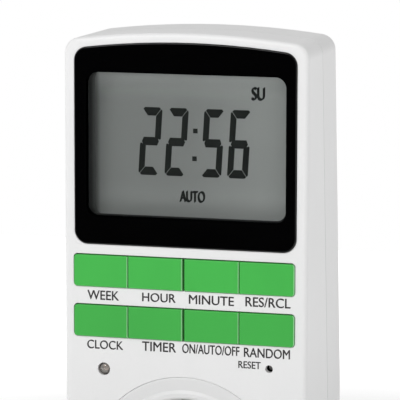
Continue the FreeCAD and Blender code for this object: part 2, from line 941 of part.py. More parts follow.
def key(left, row_z, corners):
    """Key cap with its retaining flange and stem; corners are the rounded ends (-1 left, 1 right)."""
    right = left + key_width
    low = row_z - key_height / 2 - key_drop
    high = low + key_height
    flange_front = front_wall + key_flange_gap
    flange_back = flange_front + key_flange_thickness
    cap = block(left, right, -key_proud, flange_back, low, high)
    for way in corners:
        edge_x = right if way > 0 else left
        upright = [e for e in cap.Edges
                   if e.BoundBox.YLength > key_proud and abs(e.BoundBox.XMin - edge_x) < touching]
        cap = cap.makeFillet(key_corner, upright)
    cap = cap.makeFillet(key_face_round, edges_at(cap, -key_proud))
    inset = key_side_clearance
    sides = (left + inset, right - inset)
    flange = block(*sides, flange_front, flange_back, low - key_flange, high + key_flange)
    nub_front = board_depth - switch_height - switch_nub_proud
    stem = rod(left + key_width / 2, row_z, front_wall, nub_front, key_stem_radius)
    return joined([cap, flange, stem])


def indicator_led():
    """Clear round indicator on two leads."""
    tip = led_sink
    base = tip + led_length
    dome = rod(led_x, led_z, tip, base, led_radius)
    dome = dome.makeFillet(led_dome_round, edges_at(dome, tip))
    parts = [dome, rod(led_x, led_z, base - led_flange_height, base, led_flange_radius)]
    for way in (-1, 1):
        x = led_x + way * led_lead_spacing
        parts.append(rod(x, led_z, base - led_flange_height, board_back + led_lead_tail, led_lead_radius))
    return joined(parts)


def socket_cup():
    """Ring round the recess and the wall of the recess, with two ribs and two earth notches."""
    proud = -ring_proud
    body = rod(0, 0, proud, ring_back, ring_radius)
    body = body.makeFillet(ring_edge_round, edges_at(body, proud))
    body = joined([body, rod(0, 0, ring_back / 2, recess_depth, cup_radius)])
    recess = rod(0, 0, -cut_margin, recess_depth + cut_margin, recess_radius)
    body = body.cut(recess)
    lip = [e for e in edges_at(body, proud) if abs(e.BoundBox.XLength - 2 * recess_radius) < 10 * touching]
    body = body.makeFillet(recess_lip_round, lip)
    y = at(proud)
    dish_points = [
        vec(ring_dish_inner, y - cut_margin, 0),
        vec(ring_dish_outer, y - cut_margin, 0),
        vec(ring_dish_outer, y, 0),
        vec(ring_dish_inner + ring_lip_slope, y + ring_dish, 0),
        vec(ring_dish_inner, y, 0),
        vec(ring_dish_inner, y - cut_margin, 0),
    ]
    dish_face = Part.Face(Part.makePolygon(dish_points))
    dish = dish_face.revolve(vec(0, 0, 0), vec(0, 1, 0), 360)
    body = body.cut(dish)
    for way in (-1, 1):
        near, far = sorted((way * (recess_radius - rib_height), way * (recess_radius + cup_wall / 2)))
        rib = block(near, far, rib_start, recess_depth, -rib_width / 2, rib_width / 2)
        body = body.fuse(rib)
    notches = []
    half = notch_width / 2
    for way in (-1, 1):
        near, far = sorted((way * (recess_radius - cup_wall), way * (cup_radius + cup_wall)))
        notches.append(block(-half, half, earth_clip_start - earth_slot_clearance, recess_depth, near, far))
    return without(body.removeSplitter(), notches)


def shutter_span():
    """Left and right end of the shutter plate at rest."""
    right = pin_x + shutter_window_radius + shutter_cover
    left = -pin_x - shutter_travel - shutter_window_radius - 2 * shutter_cover
    return left, right


def shutter_room():
    """Left and right end of the chamber that the shutter slides in."""
    left, right = shutter_span()
    return left - shutter_clearance, right + shutter_spring_room


def screw_posts_at():
    """Centres of the two posts that hold the contact carrier."""
    return [(screw_post_x, screw_post_z), (-screw_post_x, -screw_post_z)]


def socket_base():
    """Floor of the recess with the pin entries, the shutter's chamber and two screw posts."""
    disc = rod(0, 0, recess_depth, base_back, cup_radius)
    left, right = shutter_room()
    high = shutter_height / 2 + shutter_clearance
    wall = shutter_frame_wall
    outer = block(left - wall, right + wall, base_back, carrier_front, -high - wall, high + wall)
    parts = [disc, outer]
    for x, z in screw_posts_at():
        parts.append(rod(x, z, base_back, carrier_front, screw_post_radius))
    base = joined(parts)
    cutters = [block(left, right, base_back, carrier_front, -high, high)]
    for way in (-1, 1):
        cutters.append(rod(way * pin_x, 0, recess_depth, base_back, pin_entry_radius))
        near, far = sorted((way * earth_slot_low(), way * (earth_strap_z() + 2 * earth_thickness)))
        half = earth_width / 2 + earth_slot_clearance
        cutters.append(block(-half, half, recess_depth, carrier_front, near, far))
    hole = carrier_screw_radius + pilot_clearance
    for x, z in screw_posts_at():
        cutters.append(rod(x, z, base_back - base_thickness / 2, carrier_front, hole))
    return without(base, cutters)


def earth_strap_z():
    """Height of the inner face of the earth strap's arms in the socket."""
    return recess_radius - earth_inset - earth_thickness


def earth_slot_low():
    """Inner edge of the slots in the socket base."""
    return earth_strap_z() - earth_slot_clearance


def safety_shutter():
    """Sliding plate that covers both pin entries until a plug pushes it aside."""
    left, right = shutter_span()
    half = shutter_height / 2
    front = base_back + shutter_clearance
    plate = block(left, right, front, front + shutter_thickness, -half, half)
    cutters = []
    for way in (-1, 1):
        x = way * pin_x - shutter_travel
        cutters.append(rod(x, 0, base_back, carrier_front, shutter_window_radius))
    return without(plate, cutters)


def shutter_spring():
    """Small coil spring between the shutter and the end of its chamber."""
    _, right = shutter_span()
    _, room_right = shutter_room()
    start = right + spring_wire_radius + wire_gap
    length = room_right - spring_wire_radius - wire_gap - start
    helix = Part.makeHelix(length / spring_turns, length, spring_coil_radius)
    tangent = helix.Edges[0].tangentAt(helix.Edges[0].FirstParameter)
    section = Part.Wire(Part.makeCircle(spring_wire_radius, vec(spring_coil_radius, 0, 0), tangent))
    coil = Part.Wire(helix.Edges).makePipeShell([section], True, True)
    depth = base_back + shutter_clearance + shutter_thickness / 2
    coil.rotate(vec(0, 0, 0), vec(0, 1, 0), 90)
    coil.translate(vec(start, at(depth), 0))
    return coil


def contact_carrier():
    """Insulating block behind the shutter that holds the two spring contacts."""
    left, right = shutter_room()
    wall = shutter_frame_wall
    half = carrier_half_height
    cover = block(left - wall, right + wall, carrier_front, carrier_front + carrier_back_wall, -half, half)
    middle = pin_x + contact_pocket_width / 2 + wall
    body = block(-middle, middle, carrier_front, carrier_back, -half, half)
    parts = [cover, body]
    for x, z in screw_posts_at():
        ear_back = carrier_front + 2 * carrier_back_wall
        parts.append(rod(x, z, carrier_front, ear_back, screw_post_radius))
        low, high = sorted((0.0, z))
        reach = screw_ear_half_width
        parts.append(block(x - reach, x + reach, carrier_front, ear_back, low, high))
    carrier = joined(parts)
    cutters = []
    for way in (-1, 1):
        x = way * pin_x
        pocket_half = contact_pocket_width / 2
        rise = contact_pocket_height / 2
        inner_back = carrier_back - carrier_back_wall
        cutters.append(block(x - pocket_half, x + pocket_half, carrier_front, inner_back, -rise, rise))
        slot_rise = contact_tail_width / 2 + earth_slot_clearance
        far = web_x() + contact_thickness + earth_slot_clearance
        cutters.append(sided_block(way, pin_x, far, inner_back, carrier_back, -slot_rise, slot_rise))
        cutters.append(rod(x, 0, inner_back, carrier_back, pin_entry_radius))
    clear = carrier_screw_radius + screw_clearance
    for x, z in screw_posts_at():
        cutters.append(rod(x, z, carrier_front, carrier_back, clear))
    return without(carrier, cutters)


def carrier_screws():
    """Two screws that hold the carrier on the socket base."""
    screws = []
    size = (carrier_screw_head_radius, carrier_screw_head_height, carrier_screw_radius)
    seat = carrier_front + 2 * carrier_back_wall
    length = 2 * carrier_back_wall + shutter_chamber_depth + base_thickness / 2 - pilot_clearance
    for x, z in screw_posts_at():
        screws.append(screw(x, z, seat + carrier_screw_head_height, -1, *size, length))
    return Part.makeCompound(screws)


def web_x():
    """Distance of the inner face of a contact's web from the middle of the socket."""
    return pin_x + contact_pocket_width / 2 - contact_thickness


def sided_block(side, near, far, depth_low, depth_high, z_low, z_high):
    """Block between two distances from the middle, on the left (-1) or the right (1)."""
    x_low, x_high = sorted((side * near, side * far))
    return block(x_low, x_high, depth_low, depth_high, z_low, z_high)


def spring_contact(side):
    """Two spring leaves above and below the pin's path, joined by an upright web beside it."""
    inner = contact_gap / 2
    outer = inner + contact_thickness
    back = carrier_back - carrier_back_wall
    front = back - contact_leaf_length
    near = pin_x - contact_width / 2
    far = web_x() + contact_thickness
    upper = sided_block(side, near, far, front, back, inner, outer)
    lower = sided_block(side, near, far, front, back, -outer, -inner)
    web = sided_block(side, web_x(), far, front, back, -outer, outer)
    return [upper, lower, web]


def tail(side, depth_end):
    """Flat tail of a contact, from its web out through the slot in the carrier."""
    rise = contact_tail_width / 2
    start = carrier_back - carrier_back_wall - contact_tail_width
    return sided_block(side, web_x(), web_x() + contact_thickness, start, depth_end, -rise, rise)


def shank_end():
    """Depth of the inner end of a plug pin's shank."""
    return plug_face - plug_end_wall - pin_collar_height - pin_shank_length


def neutral_contact():
    """Neutral contact, with a tail that ends in a foot on the neutral pin."""
    rise = contact_tail_width / 2
    end = shank_end()
    far = web_x() + contact_thickness
    foot = block(pin_x - contact_foot / 2, far, end - contact_thickness, end, -rise, rise)
    return joined(spring_contact(1) + [tail(1, end), foot])


def live_contact():
    """Live contact, with a short tab for the wire from the relay."""
    return joined(spring_contact(-1) + [tail(-1, carrier_back + live_tab_length)])


def plug_pin(side):
    """Round plug pin with its rounded tip, the root in the end wall, a collar and a shank."""
    x = side * pin_x
    seat = plug_face - plug_end_wall
    tip = plug_face + pin_length
    body = rod(x, 0, plug_face, tip, pin_radius)
    body = body.makeFillet(pin_tip_round, edges_at(body, tip))
    root = rod(x, 0, seat, plug_face, pin_root_radius)
    collar = rod(x, 0, seat - pin_collar_height, seat, pin_collar_radius)
    shank = rod(x, 0, shank_end(), seat - pin_collar_height, pin_shank_radius)
    return joined([body, root, collar, shank])


def bent_strip(points, thickness, width):
    """Flat strip of constant thickness that follows points of (depth, height) in a plane along X."""
    pieces = []
    for start, end in zip(points[:-1], points[1:]):
        run = vec(0, end[0] - start[0], end[1] - start[1])
        length = run.Length
        piece = Part.makeBox(width, length, thickness, vec(-width / 2, 0, -thickness / 2))
        angle = math.degrees(math.atan2(run.z, run.y))
        piece.rotate(vec(0, 0, 0), vec(1, 0, 0), angle)
        piece.translate(vec(0, at(start[0]), start[1]))
        pieces.append(piece)
    for middle in points[1:-1]:
        centre = vec(-width / 2, at(middle[0]), middle[1])
        pieces.append(Part.makeCylinder(thickness / 2, width, centre, vec(1, 0, 0)))
    return pieces


def earth_bracket():
    """One bent strap: clips in the socket recess, a cross strap and the strips on the plug."""
    half_thickness = earth_thickness / 2
    arm = earth_strap_z() + half_thickness
    plug_arm = earth_plug_z() + half_thickness
    cross = strap_cross_depth
    clip = arm - earth_clip_reach
    entry = [(earth_clip_start, arm), (earth_clip_bulge, clip), (earth_clip_end, arm), (cross, arm)]
    leaving = [(cross, plug_arm), (case_depth + earth_plug_depth, plug_arm)]
    parts = []
    for way in (-1, 1):
        for path in (entry, leaving):
            parts += bent_strip([(depth, way * z) for depth, z in path], earth_thickness, earth_width)
    top = max(arm, plug_arm) + half_thickness
    half = earth_width / 2
    parts.append(block(-half, half, cross - half_thickness, cross + half_thickness, -top, top))
    return joined(parts)


def power_board():
    """Power board with its screw holes and holes for the link wires."""
    half = power_half_width
    board = block(-half, half, power_depth, power_back, power_bottom, power_top)
    cutters = []
    for x, z in power_posts_at():
        cutters.append(rod(x, z, power_depth, power_back, board_screw_radius + screw_clearance))
    for x in link_wires_at():
        cutters.append(rod(x, link_wire_z, power_depth, power_back, link_wire_radius + link_hole_clearance))
    return without(board, cutters)


def link_wires_at():
    """X of each wire between the two boards."""
    first = -link_wire_pitch * (link_wire_count - 1) / 2
    return [first + index * link_wire_pitch for index in range(link_wire_count)]


def link_wires():
    """Straight wires from the control board to the power board."""
    low = board_depth - link_wire_stub
    high = power_back + link_wire_stub
    return Part.makeCompound([rod(x, link_wire_z, low, high, link_wire_radius) for x in link_wires_at()])


def relay_box(inset, depth_low, depth_high):
    """Block of the relay's outline, moved inwards by an inset."""
    half = relay_width / 2 - inset
    rise = relay_length / 2 - inset
    return block(relay_x - half, relay_x + half, depth_low, depth_high, relay_z - rise, relay_z + rise)


def relay_base():
    """Base of the relay, on the power board."""
    return relay_box(relay_case_wall, power_depth - relay_base_height, power_depth)


def relay_cover():
    """Box over the relay's works, open towards the board."""
    front = power_depth - relay_height
    outer = relay_box(0.0, front, power_depth)
    return outer.cut(relay_box(relay_case_wall, front + relay_case_wall, power_depth))


def coil_z():
    """Height of the relay coil's axis."""
    return relay_z - relay_length / 2 + relay_case_wall + yoke_thickness + coil_flange_radius + armature_gap


def coil_front():
    """Depth of the front end of the relay's coil."""
    return power_depth - relay_base_height - coil_length


def relay_coil():
    """Coil of the relay with its flanges, core and the yoke beside it."""
    z = coil_z()
    back = power_depth - relay_base_height
    front = coil_front()
    parts = [rod(relay_x, z, front, back, coil_radius)]
    parts.append(rod(relay_x, z, front, front + coil_flange_height, coil_flange_radius))
    parts.append(rod(relay_x, z, back - coil_flange_height, back, coil_flange_radius))
    parts.append(rod(relay_x, z, front - coil_flange_height / 2, front, coil_core_radius))
    half = coil_flange_radius
    yoke_low = z - coil_flange_radius - yoke_thickness
    yoke_front = armature_back() + armature_seat
    yoke = block(relay_x - half, relay_x + half, yoke_front, back, yoke_low, z - coil_flange_radius)
    foot = block(relay_x - half, relay_x + half, back - yoke_thickness, back, yoke_low, z)
    parts += [yoke, foot]
    return joined(parts)


def armature_back():
    """Depth of the face of the armature that looks at the coil, at rest."""
    return coil_front() - coil_flange_height / 2 - armature_gap


def relay_armature():
    """Hinged plate ahead of the coil, with the arm that carries the moving contact."""
    z = coil_z()
    half = coil_flange_radius
    back = armature_back()
    front = back - armature_thickness
    low = z - coil_flange_radius - yoke_thickness
    high = z + coil_flange_radius
    plate = block(relay_x - half, relay_x + half, front, back, low, high)
    arm_half = half / 2
    arm = block(relay_x - arm_half, relay_x + arm_half, front, back, high, arm_end_z())
    bead = rod(relay_x, arm_end_z() - arm_half, front, back + armature_gap, relay_contact_radius)
    return joined([plate, arm, bead])


def arm_end_z():
    """Height of the free end of the armature's arm."""
    return relay_z + relay_length / 2 - relay_case_wall - armature_gap - armature_thickness


def fixed_contact():
    """Fixed contact post of the relay, standing on the base ahead of the moving contact."""
    half = coil_flange_radius / 2
    centre = arm_end_z() - half
    back = power_depth - relay_base_height
    travel = math.tan(math.radians(armature_angle_deg)) * (arm_end_z() - armature_pivot_z())
    front = armature_back() + armature_gap + travel + armature_seat
    post_front = front + relay_contact_thickness
    post = block(relay_x - half / 2, relay_x + half / 2, post_front, back, centre - half, centre + half)
    return joined([post, rod(relay_x, centre, front, post_front, relay_contact_radius)])


def armature_pivot_z():
    """Height of the line on which the armature tilts."""
    return coil_z() - coil_flange_radius - yoke_thickness / 2


def film_capacitor():
    """Box-shaped film capacitor."""
    half = film_width / 2
    rise = film_length / 2
    front = power_depth - film_height
    low = film_z - rise
    return rounded_block(film_x - half, film_x + half, front, power_depth, low, film_z + rise, film_corner)


def smoothing_capacitor():
    """Round electrolytic capacitor on end, with its rolled edge."""
    front = power_depth - smoothing_height
    body = rod(smoothing_x, smoothing_z, front, power_depth, smoothing_radius)
    body = body.makeFillet(smoothing_edge_round, edges_at(body, front))
    neck = power_depth - smoothing_neck
    groove = ring(smoothing_x, smoothing_z, neck - smoothing_collar, neck + smoothing_collar,
                  smoothing_radius + smoothing_collar, smoothing_radius - smoothing_collar)
    return body.cut(groove)


def fuse():
    """Glass tube fuse lying on the board, with its two end caps."""
    depth = power_depth - fuse_radius - board_standoff
    axis = vec(0, 0, 1)
    low = fuse_z - fuse_length / 2
    glass_radius = fuse_radius - board_standoff
    parts = [Part.makeCylinder(glass_radius, fuse_length, vec(fuse_x, at(depth), low), axis)]
    for start in (low, low + fuse_length - fuse_cap_length):
        parts.append(Part.makeCylinder(fuse_radius, fuse_cap_length, vec(fuse_x, at(depth), start), axis))
        clip_z = start + fuse_cap_length / 2
        parts.append(rod(fuse_x, clip_z, depth, power_depth, fuse_foot_radius))
    return joined(parts)


def axial_part(x, z, radius, length, upright):
    """Small axial part lying on the board, with its two bent leads."""
    depth = power_depth - radius - board_standoff
    reach = length / 2 + lead_bend_reach
    if upright:
        body = Part.makeCylinder(radius, length, vec(x, at(depth), z - length / 2), vec(0, 0, 1))
        wire = Part.makeCylinder(lead_radius, 2 * reach, vec(x, at(depth), z - reach), vec(0, 0, 1))
        feet = [(x, z - reach), (x, z + reach)]
    else:
        body = cross_rod(x - length / 2, x + length / 2, depth, z, radius)
        wire = cross_rod(x - reach, x + reach, depth, z, lead_radius)
        feet = [(x - reach, z), (x + reach, z)]
    parts = [body, wire]
    for foot_x, foot_z in feet:
        parts.append(Part.makeSphere(lead_radius, vec(foot_x, at(depth), foot_z)))
        parts.append(rod(foot_x, foot_z, depth, power_depth, lead_radius))
    return joined(parts)


def resistors():
    """Row of resistors on the power board."""
    highest = smoothing_z - smoothing_radius - resistor_gap - resistor_radius
    heights = [highest - index * resistor_pitch for index in range(resistor_count)]
    row = [axial_part(resistor_x, z, resistor_radius, resistor_length, False) for z in heights]
    return Part.makeCompound(row)


def diodes():
    """Row of rectifier diodes on the power board."""
    columns = [diode_x + index * diode_pitch for index in range(diode_count)]
    row = [axial_part(x, diode_z, diode_radius, diode_length, True) for x in columns]
    return Part.makeCompound(row)


def surge_varistor():
    """Disc varistor standing on the power board."""
    depth = power_depth - varistor_radius - board_standoff
    half = varistor_thickness / 2
    centre = vec(varistor_x, at(depth), varistor_z - half)
    disc = Part.makeCylinder(varistor_radius, varistor_thickness, centre, vec(0, 0, 1))
    disc = disc.makeFillet(varistor_edge_round, [e for e in disc.Edges if e.BoundBox.ZLength < touching])
    parts = [disc]
    for way in (-1, 1):
        x = varistor_x + way * varistor_radius / 2
        parts.append(rod(x, varistor_z, depth, power_depth, lead_radius))
    return joined(parts)


def driver_chip():
    """Flat chip on the back of the control board."""
    half = chip_size / 2
    top = board_back + chip_height
    chip = block(chip_x - half, chip_x + half, board_back, top, chip_z - half, chip_z + half)
    return chip.makeChamfer(chip_edge, edges_at(chip, board_back + chip_height))


def clock_crystal():
    """Watch crystal lying on the back of the control board."""
    depth = board_back + crystal_radius
    low = crystal_z - crystal_length / 2
    return Part.makeCylinder(crystal_radius, crystal_length, vec(crystal_x, at(depth), low), vec(0, 0, 1))


def backup_battery():
    """Button cell that keeps the time when the timer is unplugged."""
    front = board_back + cell_tab_thickness
    cell = rod(cell_x, cell_z, front, front + cell_height, cell_radius)
    top = front + cell_height
    step = rod(cell_x, cell_z, top, top + cell_tab_thickness, cell_step_radius)
    return joined([cell.makeFillet(cell_edge_round, edges_at(cell, front)), step])


def battery_tabs():
    """Two welded tabs: one under the cell and one over it, down to the board."""
    half = cell_tab_width / 2
    under = block(cell_x - half, cell_x + half, board_back, board_back + cell_tab_thickness,
                  cell_z - cell_radius - cell_tab_reach, cell_z)
    top = board_back + 2 * cell_tab_thickness + cell_height
    edge = cell_x + cell_radius + cell_tab_reach
    over = block(cell_x, edge, top, top + cell_tab_thickness, cell_z - half, cell_z + half)
    near = edge - cell_tab_thickness
    riser = block(near, edge, board_back, top + cell_tab_thickness, cell_z - half, cell_z + half)
    return Part.makeCompound([under, joined([over, riser])])


def wire_path(points):
    """Round wire along straight runs joined by arcs."""
    corners = [vec(x, at(depth), z) for x, depth, z in points]
    edges = []
    start = corners[0]
    for before, corner, after in zip(corners[:-2], corners[1:-1], corners[2:]):
        into = (corner - before).normalize()
        out = (after - corner).normalize()
        turn = into.getAngle(out)
        back = wire_bend_radius * math.tan(turn / 2)
        arc_start = corner - into * back
        arc_end = corner + out * back
        bisector = (out - into).normalize()
        centre = corner + bisector * (wire_bend_radius / math.cos(turn / 2))
        edges.append(line(start, arc_start))
        edges.append(arc(arc_start, centre - bisector * wire_bend_radius, arc_end))
        start = arc_end
    edges.append(line(start, corners[-1]))
    path = Part.Wire(edges)
    first = (corners[1] - corners[0]).normalize()
    section = Part.Wire(Part.makeCircle(wire_radius, corners[0], first))
    return path.makePipeShell([section], True, False)


def power_wires():
    """Wires to the power board: from the live pin, the live contact and the neutral contact."""
    def run_to_board(x):
        return [(x, wire_depth, wire_bend_height), (x, wire_board_bend, wire_board_height),
                (x, power_back, wire_board_height)]

    tab_x = web_x() + contact_thickness / 2
    tab_top = contact_tail_width / 2
    wires = [wire_path([(way * tab_x, wire_depth, tab_top)] + run_to_board(way * tab_x)) for way in (-1, 1)]
    from_pin = [(-pin_x, shank_end(), 0), (-pin_x, shank_end() - pin_wire_straight, 0)]
    from_pin.append((-pin_wire_x, wire_depth, pin_wire_rise))
    wires.append(wire_path(from_pin + run_to_board(-pin_wire_x)))
    return Part.makeCompound(wires)


def reset_nub():
    """Moving nub of the reset switch, with the thin pin that reaches towards its hole."""
    front = board_depth - switch_height - switch_nub_proud
    pin = rod(reset_x, reset_z, reset_pin_depth, front, reset_pin_radius)
    return joined([switch_nub((reset_x, reset_z)), pin])


pieces = {
    "front_shell": front_shell(),
    "rear_shell": rear_shell(),
    "case_screws": case_screws(),
    "display_window": display_window(),
    "display_bezel": display_bezel(),
    "lcd_panel": lcd_panel(),
    "lcd_holder": lcd_holder(),
    "contact_strip": contact_strip(),
    "control_board": control_board(),
    "board_screws": board_screws(),
    "switch_housings": switch_housings(),
    "indicator_led": indicator_led(),
    "socket_cup": socket_cup(),
    "socket_base": socket_base(),
    "safety_shutter": safety_shutter(),
    "shutter_spring": shutter_spring(),
    "contact_carrier": contact_carrier(),
    "carrier_screws": carrier_screws(),
    "live_contact": live_contact(),
    "neutral_contact": neutral_contact(),
    "live_pin": plug_pin(-1),
    "neutral_pin": plug_pin(1),
    "earth_bracket": earth_bracket(),
    "power_board": power_board(),
    "link_wires": link_wires(),
    "relay_base": relay_base(),
    "relay_cover": relay_cover(),
    "relay_coil": relay_coil(),
    "relay_armature": relay_armature(),
    "relay_contact": fixed_contact(),
    "film_capacitor": film_capacitor(),
    "smoothing_capacitor": smoothing_capacitor(),
    "fuse": fuse(),
    "resistors": resistors(),
    "diodes": diodes(),
    "surge_varistor": surge_varistor(),
    "driver_chip": driver_chip(),
    "clock_crystal": clock_crystal(),
    "backup_battery": backup_battery(),
    "battery_tabs": battery_tabs(),
    "power_wires": power_wires(),
    "reset_nub": reset_nub(),
}

key_names = ["week", "hour", "minute", "recall", "clock", "timer", "mode", "random"]
columns = key_columns()
for index, name in enumerate(key_names):
    column = index % len(columns)
    row_z = key_row_high if index < len(columns) else key_row_low
    ends = [-1] if column == 0 else [1] if column == len(columns) - 1 else []
    pieces[name + "_key"] = key(columns[column], row_z, ends)
for name, place in zip(key_names, switches_at()):
    pieces[name + "_nub"] = switch_nub(place)

os.makedirs("parts", exist_ok=True)
for name, shape in pieces.items():
    shape.exportStep("parts/" + name + ".step")
    print(name, len(shape.Solids), "valid" if shape.isValid() else "INVALID", round(shape.Volume, 2))
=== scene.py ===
import json
import logging
import math
from dataclasses import dataclass, replace
from enum import Enum
from typing import Sequence

import bmesh
import bpy
from bmesh.types import BMesh, BMVert
from bpy.types import Material, Mesh, Node, NodeSocket, NodeTree, Object
from mathutils import Matrix, Vector


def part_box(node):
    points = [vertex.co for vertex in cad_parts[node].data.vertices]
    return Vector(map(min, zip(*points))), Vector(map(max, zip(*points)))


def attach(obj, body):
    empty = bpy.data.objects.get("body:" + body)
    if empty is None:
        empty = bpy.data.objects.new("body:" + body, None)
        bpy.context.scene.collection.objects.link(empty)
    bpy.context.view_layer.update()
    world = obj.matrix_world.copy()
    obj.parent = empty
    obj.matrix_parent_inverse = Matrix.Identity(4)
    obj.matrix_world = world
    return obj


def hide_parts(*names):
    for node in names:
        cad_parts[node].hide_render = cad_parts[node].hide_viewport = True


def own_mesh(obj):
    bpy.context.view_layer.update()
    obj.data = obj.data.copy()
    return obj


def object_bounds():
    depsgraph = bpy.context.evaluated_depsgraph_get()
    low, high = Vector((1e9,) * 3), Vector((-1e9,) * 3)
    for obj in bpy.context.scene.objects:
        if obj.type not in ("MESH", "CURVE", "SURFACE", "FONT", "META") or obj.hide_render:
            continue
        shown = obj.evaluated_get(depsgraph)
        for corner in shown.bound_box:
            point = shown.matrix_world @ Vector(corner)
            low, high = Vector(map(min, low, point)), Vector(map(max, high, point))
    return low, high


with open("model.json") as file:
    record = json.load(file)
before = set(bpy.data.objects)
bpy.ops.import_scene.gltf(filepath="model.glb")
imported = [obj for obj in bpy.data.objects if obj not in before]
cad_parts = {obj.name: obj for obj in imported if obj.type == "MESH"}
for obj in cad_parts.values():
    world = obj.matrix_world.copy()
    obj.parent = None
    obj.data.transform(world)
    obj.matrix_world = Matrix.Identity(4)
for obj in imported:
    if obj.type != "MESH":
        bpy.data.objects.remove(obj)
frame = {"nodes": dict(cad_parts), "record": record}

log = logging.getLogger("timer")
CAD_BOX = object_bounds()
MM = 0.001
FLOOR_GAP = 0.2 * MM
Pair = tuple[float, float]
Triple = tuple[float, float, float]


class Body(Enum):
    """Bodies that new pieces ride on."""

    CASE = "case"


class Slot(Enum):
    """Material slots of the record."""

    PRINT = "black_plastic"
    DISPLAY = "lcd_glass"
    LAMP = "led_clear"
    METAL = "nickel_plate"
    STEEL = "screw_steel"


@dataclass(frozen=True)
class Rgb:
    """Linear colour.

    Args:
        red, green, blue: linear light from 0 to 1.
    """

    red: float
    green: float
    blue: float

    def rgba(self) -> tuple[float, float, float, float]:
        """Colour with full alpha."""
        return (self.red, self.green, self.blue, 1.0)

    def times(self, factor: float) -> "Rgb":
        """Colour made darker or lighter by a factor."""
        return Rgb(self.red * factor, self.green * factor, self.blue * factor)


def grey(level: float) -> Rgb:
    """Colour without a tint."""
    return Rgb(level, level, level)


class Value:
    """Number socket whose arithmetic adds Math nodes to its tree."""

    def __init__(self, tree: "ShaderTree", port: NodeSocket) -> None:
        """Wrap an output socket."""
        self.tree = tree
        self.port = port

    def _math(self, operation: str, first: object, second: object = None) -> "Value":
        """Add one Math node.

        Args:
            operation: the node's operation.
            first: first number or socket.
            second: second number or socket, where the operation has one.

        Returns:
            The node's result.
        """
        inputs = {0: first} if second is None else {0: first, 1: second}
        return self.tree.value("ShaderNodeMath", {"operation": operation}, inputs)

    def __add__(self, other: object) -> "Value":
        """Sum."""
        return self._math("ADD", self, other)

    __radd__ = __add__

    def __sub__(self, other: object) -> "Value":
        """Difference."""
        return self._math("SUBTRACT", self, other)

    def __rsub__(self, other: object) -> "Value":
        """Difference from a number."""
        return self._math("SUBTRACT", other, self)

    def __mul__(self, other: object) -> "Value":
        """Product."""
        return self._math("MULTIPLY", self, other)

    __rmul__ = __mul__

    def __neg__(self) -> "Value":
        """Opposite."""
        return self * -1.0

    def __abs__(self) -> "Value":
        """Absolute value."""
        return self._math("ABSOLUTE", self)

    def larger(self, other: object) -> "Value":
        """Larger of two."""
        return self._math("MAXIMUM", self, other)

    def smaller(self, other: object) -> "Value":
        """Smaller of two."""
        return self._math("MINIMUM", self, other)

    def over(self, limit: object) -> "Value":
        """One where this is above a limit, otherwise nought."""
        return self._math("GREATER_THAN", self, limit)

    def root(self) -> "Value":
        """Square root."""
        return self._math("SQRT", self)

    def swing(self, amount: float) -> "Value":
        """Noise of 0 to 1 as a swing by half an amount to either side of nought."""
        return (self - 0.5) * amount

    def ramp(self, low: float, high: float) -> "Value":
        """Smooth step.

        Args:
            low, high: where the step is 0 and where it is 1.

        Returns:
            The step.
        """
        settings = {"interpolation_type": "SMOOTHSTEP"}
        sockets = {"Value": self, "From Min": low, "From Max": high}
        return self.tree.value("ShaderNodeMapRange", settings, sockets, "Result")

    def ripple(self, pitch: float) -> "Value":
        """Rounded ripple from 0 to 1 that repeats with a pitch in metres."""
        return self._math("SINE", self * (2 * math.pi / pitch)) * 0.5 + 0.5


